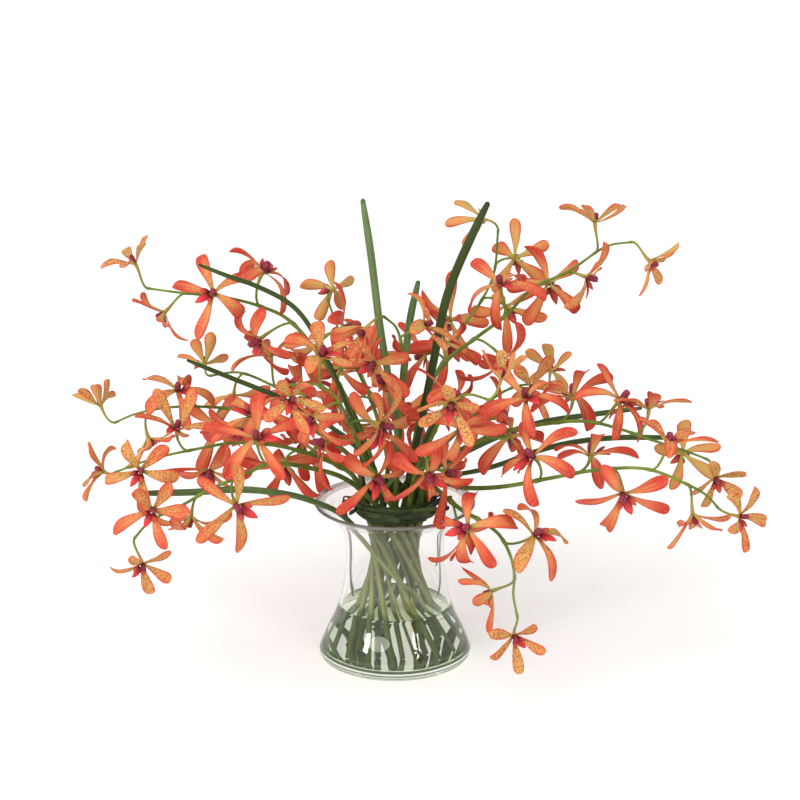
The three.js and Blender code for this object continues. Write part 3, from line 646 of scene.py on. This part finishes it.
def makeStalkSkin():
    recipe = Recipe("stalk_skin", Specular_IOR_Level=0.2)
    along, across, ripenessAndStemShade = recipe.attributes("along", "across", "ripenessAndStemShade")
    patches = recipe.noise(55, 3)
    fibres = recipe.noise(1.0, 2, recipe.vector(across * 12, along * 20, 0.0))
    mottled = patches + (fibres - 0.5) * 0.5
    low = recipe.ramp(mottled, *stalkColours["low"])
    high = recipe.ramp(mottled, *stalkColours["high"])
    # painted shade: where the mark is low, near a stem's foot, the stem is painted darker green; near
    # a bloom the stalk turns to its own pale orange
    green = recipe.mix(recipe.between(ripenessAndStemShade, 0.1, 0.5), low, high)
    tinted = recipe.mix(recipe.between(ripenessAndStemShade, 0.6, 1.0) * 0.8, green, stalkColours["pale"])
    return recipe.finish(inVase(recipe, tinted), 0.45 + patches * 0.2, fibres, 0.0005, 0.6)


leafColours = {
    "shades": [
        (0.25, (0.026, 0.034, 0.004)), (0.5, (0.044, 0.080, 0.016)), (0.8, (0.16, 0.235, 0.092)),
    ],
    "tip": (0.01, 0.03, 0.012),
}


def makeLeafSkin():
    recipe = Recipe("leaf_skin", Specular_IOR_Level=0.17)
    along, across, tone = recipe.attributes("along", "across", "tone")
    patches = recipe.noise(30, 3)
    fibres = recipe.noise(1.0, 3, recipe.vector(across * 9, along * 3, patches))
    shade = fibres * 0.7 + patches * 0.3 + (tone - 0.5) * 0.5
    green = recipe.ramp(shade, *leafColours["shades"])
    tip = recipe.between(along, 0.985, 1.0)
    colour = recipe.mix(tip * 0.6, green, leafColours["tip"])
    return recipe.finish(inVase(recipe, colour), 0.32 + fibres * 0.22, fibres, 0.0006, 0.5)


raffiaShades = [
    (0.2, (0.005, 0.012, 0.003)), (0.5, (0.020, 0.040, 0.008)), (0.85, (0.085, 0.13, 0.035)),
]


def makeRaffiaSkin():
    recipe = Recipe("raffia_skin", Specular_IOR_Level=0.4)
    along, across, tone = recipe.attributes("along", "across", "tone")
    fibres = recipe.noise(1.0, 3, recipe.vector(across * 8, along * 14, tone * 30))
    shade = fibres + (tone - 0.5) * 0.55
    colour = recipe.ramp(shade, *raffiaShades)
    return recipe.finish(colour, 0.5 + fibres * 0.25, fibres, 0.0007, 0.9)


# a faint glow stands in for the light that thick glass gathers and the renderer loses
def makeGlass(name, glow):
    recipe = Recipe(
        name, Transmission_Weight=1.0, IOR=1.45, Emission_Strength=glow,
        Emission_Color=(0.8, 1.0, 0.62, 1))
    height = recipe.height()
    wisps = recipe.noise(9, 2)
    # greener towards the foot: the thick glass's own tint, and partly a painted green reflection of
    # the stems there; greyer towards the rim, a painted shade like the rim's
    colour = recipe.mix(recipe.between(height, 0.0, 0.03), (0.92, 0.97, 0.85), (0.985, 0.985, 0.975))
    colour = recipe.mix(recipe.between(height, 0.138, 0.154), colour, (0.88, 0.86, 0.84))
    recipe.finish(colour, 0.0, wisps, 0.0004, 0.15)
    return recipe.passLight()


def makeWater():
    recipe = Recipe("water", Transmission_Weight=1.0, IOR=1.33)
    ripples = recipe.noise(14, 2)
    colour = recipe.mix(ripples, (0.94, 0.97, 0.79), (0.98, 0.985, 0.87))
    recipe.finish(colour, 0.0, ripples, 0.0005, 0.15)
    return recipe.passLight()


# painted shade: the rim is grey-brown and less clear than the rest of the glass, for the dark look of
# its thick edge
def makeRimGlass():
    recipe = Recipe("rim_glass", Transmission_Weight=0.75, IOR=1.45)
    rimShadeNoise = recipe.noise(60, 2)
    colour = recipe.mix(rimShadeNoise, (0.40, 0.365, 0.33), (0.62, 0.57, 0.54))
    recipe.finish(colour, 0.12 + rimShadeNoise * 0.12)
    return recipe.passLight()


materials = {
    "face": makeTepalFace(),
    "back": makeTepalBack(),
    "lip": makeLip("lip_red", (0.72, 0.035, 0.035), (0.30, 0.008, 0.02)),
    "sideLobe": makeLip("side_lobe", (0.52, 0.06, 0.03), (0.16, 0.008, 0.018)),
    "column": makeColumnSkin(),
    "stalk": makeStalkSkin(),
    "leaf": makeLeafSkin(),
    "raffia": makeRaffiaSkin(),
    "glass": makeGlass("clear_glass", 0.0),
    "foot": makeGlass("foot_glass", 0.028),
    "rim": makeRimGlass(),
    "water": makeWater(),
}
print("mixed the materials")


# Building pieces

def startMesh():
    bm = bmesh.new()
    return bm, [bm.verts.layers.float.new(mark) for mark in marks]


def finishVertex(vert, spot, layers=(), values=(), skin=0):
    vert.co = spot * mm
    for layer, value in zip(layers, values):
        vert[layer] = value
    for face in vert.link_faces:
        face.material_index = skin
        face.smooth = True


def addObject(name, data):
    item = bpy.data.objects.new(name, data)
    bpy.context.scene.collection.objects.link(item)
    return item


def addMesh(bm, name, skins):
    mesh = bpy.data.meshes.new(name)
    bm.to_mesh(mesh)
    bm.free()
    for skin in skins:
        mesh.materials.append(skin)
    return addObject(name, mesh)


def finishPiece(bm, name, skins, replaced=()):
    piece = addMesh(bm, name, [materials[skin] for skin in skins])
    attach(piece, "root")
    if replaced:
        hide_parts(*replaced)
    return piece


# A unit cylinder whose rings are carried onto a line
def layTube(
        bm, layers, line, radii, sides, along=None, ripenessAndStemShade=0.0, tone=0.5, flat=1.0,
        lead=(1.0, 0.1, 0.05)):
    count = len(line)
    radii, ripenessAndStemShade = np.broadcast_to(radii, count), np.broadcast_to(ripenessAndStemShade, count)
    along = np.linspace(0, 1, count) if along is None else along
    first = len(bm.verts)
    made = bmesh.ops.create_cone(
        bm, segments=sides, radius1=1, radius2=1, depth=1, cap_ends=True)["verts"]
    upright = [e for v in made if v.co.z < 0 for e in v.link_edges if e.other_vert(v).co.z > 0]
    bmesh.ops.subdivide_edges(bm, edges=upright, cuts=count - 2, use_grid_fill=True)
    bm.verts.ensure_lookup_table()
    side = np.array(lead)
    frames = []
    for ahead in np.gradient(line, axis=0):
        ahead = unit(ahead)
        side = squared(side, ahead)
        frames.append((side, np.cross(ahead, side)))
    for vert in bm.verts[first:]:
        x, y, z = vert.co
        ring = round((z + 0.5) * (count - 1))
        side, across = frames[ring]
        spot = line[ring] + (side * x + across * y * flat) * radii[ring]
        finishVertex(vert, spot, layers, (along[ring], x, ripenessAndStemShade[ring], tone))


# A flat grid that is carried onto a blade's middle line, with its side and its face
def layBlade(bm, layers, frames, widths, cup, skin, along, ripenessAndStemShade, tone, columns=4):
    spots, sides, faces = frames
    rows = len(spots) - 1
    made = bmesh.ops.create_grid(bm, x_segments=columns, y_segments=rows, size=0.5)["verts"]
    for vert in made:
        across = -2 * vert.co.x
        row = round((vert.co.y + 0.5) * rows)
        spot = spots[row] + sides[row] * across * widths[row]
        spot = spot + faces[row] * (cup[row] * across ** 2 * widths[row])
        finishVertex(vert, spot, layers, (along[row], across, ripenessAndStemShade, tone), skin)


# Tepals and lips

tepal = {
    "outline": [
        (-0.07, 0.22), (0.08, 0.30), (0.22, 0.44), (0.37, 0.64), (0.52, 0.83), (0.65, 0.96),
        (0.77, 1.0), (0.86, 0.94), (0.93, 0.76), (0.98, 0.46), (1.0, 0.2),
    ],
    "thickness": 0.7, "breadth": (0.76, 0.98), "youngBreadth": 1.22,
    "hollow": (0.15, 0.65),  # how deep a tepal is channelled, in shares of its half width
    "ripple": 0.12, "twist": 34, "waves": (5, 4),
    "tipBend": (-4, 9),  # how far its tip bends back, in mm
    "droop": (0, 5),  # how far its tip hangs down
    "grown": 4,  # how many places behind its spray's tip a bloom is full grown
    "ageSpread": 0.6, "ripenessSpread": 0.3,
}

lip = {
    "outline": [(0, 0.5), (0.25, 0.85), (0.5, 1.0), (0.75, 0.72), (1.0, 0.1)],
    "lobes": [  # arm, skin and hollow: the middle lobe and the two at its sides
        ((270, 14.5, 6.6, 28, 12, 0), 2, 0.35),
        ((228, 9.5, 5.4, 62, 20, 0), 3, -0.3),
        ((312, 9.5, 5.4, 62, 20, 0), 3, -0.3),
    ],
    "twist": 16, "ahead": 1.5,
}


def bladeFrames(bloom, arm, shares, twist):
    spots, side, faces = armPath(bloom, arm, shares)
    sides = []
    for row, (share, face) in enumerate(zip(shares, faces)):
        turn = math.radians(twist) * share
        sides.append(side * math.cos(turn) + face * math.sin(turn))
        faces[row] = face * math.cos(turn) - side * math.sin(turn)
    return spots, sides, faces


def layTepals(bm, layers, bloom, ripenessAndStemShade):
    draw = drawsFor("tepals", bloom["seed"])
    shares, profile = np.array(tepal["outline"]).T
    size, along = bloom["size"], np.clip(shares, 0, 1)
    youngBreadth = mixed(tepal["youngBreadth"], 1, min(bloom["age"] / tepal["grown"], 1))
    for arm in bloom["arms"][:-1]:
        spots, sides, faces = bladeFrames(bloom, arm, shares, swing(draw, 2 * tepal["twist"]))
        bend = mixed(*tepal["tipBend"], draw()) * size
        hang = mixed(*tepal["droop"], draw()) * size
        spots = spots - faces * bend * along[:, None] ** 3 - np.outer(hang * along ** 2, upward)
        widths = profile * arm[2] * size * 0.5 * mixed(*tepal["breadth"], draw()) * youngBreadth
        phase, waves = draw() * 6.28, above(draw, *tepal["waves"])
        hollow = mixed(*tepal["hollow"], draw())
        cup = [hollow + tepal["ripple"] * math.sin(phase + waves * share) for share in shares]
        tone = draw()
        ripe = clamped(ripenessAndStemShade + swing(draw, tepal["ripenessSpread"]))
        layBlade(bm, layers, (spots, sides, faces), widths, cup, 0, along, ripe, tone)


def layLip(bm, layers, bloom):
    draw = drawsFor("lips", bloom["seed"])
    shares, profile = np.array(lip["outline"]).T
    for arm, skin, hollow in lip["lobes"]:
        spots, sides, faces = bladeFrames(bloom, arm, shares, swing(draw, lip["twist"]))
        spots = spots + bloom["facing"] * lip["ahead"] * bloom["size"]
        widths = profile * arm[2] * bloom["size"] * 0.5
        frames, cup = (spots, sides, faces), [hollow] * len(shares)
        layBlade(bm, layers, frames, widths, cup, skin, shares, 0.5, draw(), columns=2)


def makeBlooms(name, blooms):
    bm, layers = startMesh()
    for bloom in blooms:
        draw = drawsFor("ripenessAndStemShade", bloom["seed"])
        ripenessAndStemShade = bloom["age"] / tepal["grown"] + swing(draw, tepal["ageSpread"])
        layTepals(bm, layers, bloom, ripenessAndStemShade)
        layLip(bm, layers, bloom)
    skins = ["face", "back", "lip", "sideLobe", "sideLobe"]
    piece = finishPiece(bm, name + "_blooms", skins, [name])
    solid = piece.modifiers.new("thickness", "SOLIDIFY")
    solid.thickness = tepal["thickness"] * mm
    solid.offset = 0
    solid.material_offset = solid.material_offset_rim = 1


# Columns: a dark ridged cap that stands out of each bloom

column = {
    "length": 9.5, "stretch": (0.88, 0.24), "radius": 3.15, "back": -1.5, "tilt": 0.16, "stray": 0.2,
    "fullness": 0.42, "waist": (0.84, 0.16), "ridges": 5, "ridge": 0.09, "segments": 10, "rings": 7,
}


def layColumn(bm, bloom):
    made = bmesh.ops.create_uvsphere(
        bm, u_segments=column["segments"], v_segments=column["rings"], radius=1)["verts"]
    size = bloom["size"]
    draw = drawsFor("columns", bloom["seed"])
    stray = bloom["right"] * (draw() - 0.5) * column["stray"]
    axis = unit(bloom["facing"] + bloom["top"] * column["tilt"] + stray)
    right = squared(bloom["right"], axis)
    top = np.cross(axis, right)
    length = column["length"] * above(draw, *column["stretch"])
    narrow, widening = column["waist"]
    for vert in made:
        x, y, z = vert.co
        girth = math.hypot(x, y)
        fuller = girth ** column["fullness"] / girth if girth > 1e-6 else 0
        ridge = 1 + column["ridge"] * math.cos(column["ridges"] * math.atan2(y, x))
        radius = column["radius"] * size * fuller * ridge * (narrow + widening * z)
        reach = mixed(column["back"], length, (z + 1) / 2)
        spot = bloom["centre"] + axis * reach * size + (right * x + top * y) * radius
        finishVertex(vert, spot)


def makeColumns():
    bm = bmesh.new()
    for blooms in hung.values():
        for bloom in blooms:
            layColumn(bm, bloom)
    finishPiece(bm, "columns", ["column"])


# Stems, with a swollen node under each flower stalk

stalks = {
    "thickness": [(0, 2.9), (0.3, 2.8), (0.5, 2.1), (0.75, 1.5), (1, 1.05)],
    "sides": 8,
    "straightTo": 44,  # the step where a stem's straight part ends, which needs few rings
    "straightStep": 8,
    "node": 0.35, "nodeReach": 3.0,
    "pedicel": [(0, 1.6), (0.1, 1.15), (0.5, 1.1), (0.75, 1.35), (0.93, 2.0), (1, 1.4)],
    "pedicelRings": np.array([0, 0.07, 0.2, 0.36, 0.52, 0.68, 0.82, 0.93, 1.0]),
    "pedicelSides": 7,
    "lead": 7.5,  # how far a flower stalk runs on along the stem before it turns
}


def stemRadii(path, blooms):
    shares = np.linspace(0, 1, len(path.line))
    radii = np.interp(shares, *zip(*stalks["thickness"]))
    for bloom in blooms:
        distance = np.linalg.norm(path.line - bloom["foot"], axis=1)
        radii = radii * (1 + stalks["node"] * np.exp(-(distance / stalks["nodeReach"]) ** 2))
    return radii


def makeStalks(name, blooms):
    bm, layers = startMesh()
    path = paths[name]
    count, step = len(path.line), stalks["straightStep"]
    kept = [i for i in range(count) if i % step == 0 or i > stalks["straightTo"]]
    # the mark rises from a stem's foot to its tip and carries the painted shade of the bundle
    layTube(
        bm, layers, path.line[kept], stemRadii(path, blooms)[kept], stalks["sides"],
        along=path.lengths[kept] / 100, ripenessAndStemShade=0.6 * np.array(kept) / count)
    shares = stalks["pedicelRings"]
    thickness = np.interp(shares, *zip(*stalks["pedicel"]))
    for bloom in blooms:
        leaving = bloom["foot"] + bloom["ahead"] * stalks["lead"]
        line = bezier([bloom["foot"], leaving, bloom["elbow"], bloom["centre"]], shares)
        old = min(bloom["age"] / 5, 1) * 0.2
        layTube(
            bm, layers, line, thickness * (0.8 + 0.25 * bloom["size"]), stalks["pedicelSides"],
            along=shares * 0.3, ripenessAndStemShade=0.55 + shares * 0.45 - old)
    finishPiece(bm, name + "_stalks", ["stalk"])


for name, blooms in hung.items():
    makeBlooms(name, blooms)
    makeStalks(name, blooms)
makeColumns()
print("made the sprays")


# Leaves

leafTones = {
    "leaf_tall": 0.92, "leaf_left_low": 0.66, "leaf_short_upright": 0.78,
    "leaf_broad": 0.2, "leaf_left_upper": 0.36, "leaf_left_middle": 0.36,
}
leafShape = {
    "thickness": [
        (0, 0.62), (0.3, 0.62), (0.55, 0.86), (0.75, 1.0),
        (0.92, 0.98), (0.965, 0.84), (0.99, 0.68), (1, 0.52),
    ],
    "tone": 0.45, "ringGap": 7, "sides": 14,
}
shortBy = {"leaf_tall": 2, "leaf_broad": 4}  # how many steps before its line's end a leaf stops


def makeLeaf(name, radius):
    bm, layers = startMesh()
    line = paths[name].line
    path = Path(line[:len(line) - shortBy.get(name, 0)])
    end = radius * leafShape["thickness"][-1][1]
    tip = path.total - end * np.cos(np.radians(range(0, 91, 15)))
    reaches = np.concatenate([np.arange(0, path.total - end, leafShape["ringGap"]), tip])
    line = np.array([path.at(reach)[0] for reach in reaches])
    shares = reaches / path.total
    rounding = np.sqrt(np.clip(1 - ((reaches - path.total + end) / end).clip(0) ** 2, 0.01, 1))
    radii = radius * np.interp(shares, *zip(*leafShape["thickness"])) * rounding
    tone = leafTones.get(name, leafShape["tone"])
    layTube(bm, layers, line, radii, leafShape["sides"], along=shares, tone=tone)
    finishPiece(bm, name + "_blade", ["leaf"], [name])


for name, (_, radius, _) in leaves.items():
    makeLeaf(name, radius)
print("made the leaves")


# Vase and water, turned from their profiles

def wallPoint(share):
    points = np.array(vase["outside"], float)
    last = len(points) - 1
    i = min(int(share * last), last - 1)
    t = share * last - i
    p0, p1, p2, p3 = (points[min(max(k, 0), last)] for k in range(i - 1, i + 3))
    leave, arrive = (p2 - p0) / 2, (p3 - p1) / 2
    cubic = 2 * p1 - 2 * p2 + leave + arrive
    square = -3 * p1 + 3 * p2 - 2 * leave - arrive
    slope = 3 * cubic * t ** 2 + 2 * square * t + leave
    return cubic * t ** 3 + square * t ** 2 + leave * t + p1, unit(slope)


def wallLine(inset):
    line = []
    for step in range(vase["steps"] + 1):
        spot, along = wallPoint(step / vase["steps"])
        line.append((spot[0] - along[1] * inset, spot[1] + along[0] * inset))
    return line


def arc(centre, radius, start, end, steps):
    angles = np.radians(np.linspace(start, end, steps + 1))
    return [(centre[0] + radius * math.cos(a), centre[1] + radius * math.sin(a)) for a in angles]


def innerLine(inset):
    corner = vase["innerCorner"]
    wall = [(r, z) for r, z in wallLine(inset) if z > vase["floor"] + corner + 0.5]
    floor = vase["floor"] + (vase["wall"] - inset)
    radius = wall[0][0] + 1.2 - corner
    rounded = arc((radius, floor + corner), corner, -90, -10, 7)
    return [(0, floor), (radius * 0.5, floor)] + rounded + wall


def turned(bm, profile):
    verts = [bm.verts.new((r * mm, 0, z * mm)) for r, z in profile]
    edges = [bm.edges.new(pair) for pair in zip(verts, verts[1:])]
    bmesh.ops.spin(
        bm, geom=verts + edges, axis=(0, 0, 1), cent=(0, 0, 0), angle=2 * math.pi,
        steps=vase["turns"], use_merge=True)
    bmesh.ops.remove_doubles(bm, verts=bm.verts, dist=1e-6)
    bmesh.ops.recalc_face_normals(bm, faces=bm.faces)
    for face in bm.faces:
        face.smooth = True


def makeVase():
    corner = vase["corner"]
    outside = wallLine(0)
    inside = innerLine(vase["wall"])
    along = wallPoint(1)[1] * vase["rimBulge"]
    outer, inner = np.array(outside[-1]), np.array(inside[-1])
    middle, across = (outer + inner) / 2, (inner - outer) / 2
    angles = np.linspace(0, math.pi, 9)[1:-1]
    rim = [tuple(middle - across * math.cos(a) + along * math.sin(a)) for a in angles]
    foot = arc((outside[0][0] - corner, corner), corner, -90, 0, 9)
    bm = bmesh.new()
    turned(bm, [(0, 0), (35, 0)] + foot[:-1] + outside + rim + inside[::-1])
    for face in bm.faces:
        x, y, z = face.calc_center_median() / mm
        if z > vase["rimFrom"]:
            face.material_index = 1
        elif z < vase["glowTo"] and math.hypot(x, y) < vase["glowWithin"]:
            face.material_index = 2
    finishPiece(bm, "vase_glass", ["glass", "rim", "foot"], ["vase"])


# how high the water is, how far it reaches into the glass and how far it climbs there
water = {"level": 56, "overlap": 0.15, "meniscus": 1.3}


def makeWaterBody():
    level, top = water["level"], water["level"] + water["meniscus"]
    inside = innerLine(vase["wall"] - water["overlap"])
    wall = [(r, z) for r, z in inside if z < level - 1]
    radii, heights = zip(*[(r, z) for r, z in inside if z > vase["floor"] + vase["innerCorner"]])
    rim = float(np.interp(top, heights, radii))
    bm = bmesh.new()
    turned(bm, wall + [(rim, top), (rim - 0.7, level + 0.5), (rim - 2.2, level), (0, level)])
    finishPiece(bm, "water_body", ["water"], ["water"])


makeVase()
makeWaterBody()
print("turned the vase and its water")


# Raffia: strips wound round the bundle, with loose ends and strands that hang in the glass

raffia = {
    "inner": 36.6, "outer": 41.5, "lowest": 152, "highest": 170,
    "wraps": 13, "wrapHeights": (155, 12), "turn": (300, 130), "tilt": 5, "wrapWidth": (1.6, 1.5),
    "ends": 18, "endHeights": (155, 13), "reach": (8, 9), "rise": (-1, 7), "sweep": (5, 14),
    "endWidth": (2.1, 1.2), "endShape": [(0, 0.6), (0.3, 1), (0.9, 0.95), (1, 0.6)],
    "strands": [(172, 60), (196, 74), (-9, 66), (13, 92)],  # heading and lowest point
    "strandTop": [(-2, 164), (9, 165), (8, 153), (3, 124)],  # how far out, and height
}


def layWrap(bm, layers, i):
    draw = drawsFor("wraps", i)
    start, turn = 360 * draw(), above(draw, *raffia["turn"])
    depth = (i % 4) / 3 * 0.75 + 0.25 * draw()
    radius = mixed(raffia["inner"], raffia["outer"], depth)
    least, more = raffia["wrapHeights"]
    middle = least + more * (i + draw()) / raffia["wraps"]
    tilt, phase = swing(draw, raffia["tilt"]), 6.28 * draw()
    width = above(draw, *raffia["wrapWidth"])
    turns = np.linspace(0, 1, 41)
    line = []
    for s in turns:
        angle = start + turn * s
        sag = tilt * math.sin(math.radians(angle) + phase) + 0.9 * math.sin(9 * s + phase)
        height = min(max(middle + sag, raffia["lowest"]), raffia["highest"])
        slack = 1.6 * max(0, math.sin(math.radians(angle) * 2 + phase)) ** 4
        line.append(ringPoint(radius + slack + 0.5 * math.sin(15 * s + phase), angle, height))
    widths = width * (0.85 + 0.25 * np.sin(turns * 23 + phase))
    layTube(bm, layers, line, widths, 8, flat=0.22, lead=upward, along=turns * 3, tone=draw())


def layEnd(bm, layers, i):
    draw = drawsFor("ends", i)
    outer = raffia["outer"]
    angle = 360 * (i + 0.7 * draw()) / raffia["ends"]
    height = above(draw, *raffia["endHeights"])
    reach, rise, sweep = [above(draw, *raffia[key]) for key in ("reach", "rise", "sweep")]
    line = smoothLine([
        ringPoint(outer - 2.0, angle - 24, height),
        ringPoint(outer + 0.8, angle - 8, height + rise * 0.15),
        ringPoint(outer + reach * 0.55, angle + sweep * 0.4, height + rise * 0.7),
        ringPoint(outer + reach, angle + sweep, height + rise),
    ], 4)
    shape = np.interp(np.linspace(0, 1, len(line)), *zip(*raffia["endShape"]))
    widths = above(draw, *raffia["endWidth"]) * shape
    layTube(bm, layers, line, widths, 8, flat=0.28, lead=upward, tone=draw())


def layStrand(bm, layers, i, heading, end):
    draw = drawsFor("strands", i)
    knots = raffia["strandTop"] + [(3, end + 12), (1, end)]
    line = smoothLine([ringPoint(raffia["outer"] + out, heading, z) for out, z in knots], 6)
    count = len(line)
    sway = np.sin(np.linspace(0, above(draw, 9, 5), count)) * np.linspace(0, 2.4, count)
    line = line + np.outer(sway, ringPoint(1, heading + 90, 0))
    layTube(
        bm, layers, line, 1.0, 6, flat=0.4, lead=ringPoint(1, heading, 0),
        along=np.linspace(0, 4, count), tone=draw())


def makeRaffia():
    bm, layers = startMesh()
    for i in range(raffia["wraps"]):
        layWrap(bm, layers, i)
    for i in range(raffia["ends"]):
        layEnd(bm, layers, i)
    for i, (heading, end) in enumerate(raffia["strands"]):
        layStrand(bm, layers, i, heading, end)
    finishPiece(bm, "raffia_strips", ["raffia"], ["raffia_tie"])


makeRaffia()
print("wound the raffia")


# Floor, light and camera

def makeFloor():
    bm = bmesh.new()
    bmesh.ops.create_circle(bm, cap_ends=True, segments=64, radius=14)
    bmesh.ops.translate(bm, verts=bm.verts, vec=(0, 0, -0.0005))
    recipe = Recipe(
        "pale_floor", Specular_IOR_Level=0.1, Emission_Strength=0.07, Emission_Color=(1, 1, 1, 1))
    place = {0: recipe.place}
    distance = recipe.node("ShaderNodeVectorMath", place, "Value", operation="LENGTH")
    patches = recipe.noise(3, 2)
    # painted soft shadow: the floor is warmer and a little darker near the vase
    near = 1 - recipe.between(distance + (patches - 0.5) * 0.1, 0.1, 1.3)
    colour = recipe.mix(near, (0.95, 0.95, 0.945), (0.93, 0.91, 0.89))
    recipe.finish(colour, 0.7 + patches * 0.1)
    addMesh(bm, "floor", [recipe.material])


def makeLight(name, kind, place, energy, **settings):
    light = bpy.data.lights.new(name, kind)
    light.energy = energy
    for key, value in settings.items():
        setattr(light, key, value)
    lamp = addObject(name, light)
    lamp.location = place
    lamp.rotation_euler = (Vector((0, 0, 0.2)) - Vector(place)).to_track_quat("-Z", "Y").to_euler()


camera = {"distance": 3.0, "elevation": 17.5, "right": 0.005, "height": 0.255, "lens": 135}


def makeCamera():
    data = bpy.data.cameras.new("camera")
    data.lens = camera["lens"]
    tilt = math.radians(camera["elevation"])
    view = Vector((0, -math.cos(tilt), math.sin(tilt)))
    up = Vector((0, math.sin(tilt), math.cos(tilt)))
    target = Vector((camera["right"], 0, 0)) + up * camera["height"]
    item = addObject("camera", data)
    item.location = target + view * camera["distance"]
    item.rotation_euler = view.to_track_quat("Z", "Y").to_euler()
    bpy.context.scene.camera = item


def makeWorld(strength):
    world = bpy.data.worlds.new("studio")
    world.use_nodes = True
    background = world.node_tree.nodes["Background"].inputs
    background["Color"].default_value = (1, 1, 1, 1)
    background["Strength"].default_value = strength
    bpy.context.scene.world = world


makeFloor()
makeLight("sun", "SUN", (-1.2, -1.8, 2.6), 1.65, angle=math.radians(50))
makeLight("softboxLeft", "AREA", (-1.6, -1.3, 0.96), 9, shape="RECTANGLE", size=0.34, size_y=0.45)
makeLight("softboxRight", "AREA", (1.3, -1.6, 0.96), 9, shape="RECTANGLE", size=0.38, size_y=0.45)
makeCamera()
makeWorld(0.7)
bpy.context.scene.view_settings.view_transform = "Standard"
print("set the floor, lights and camera")
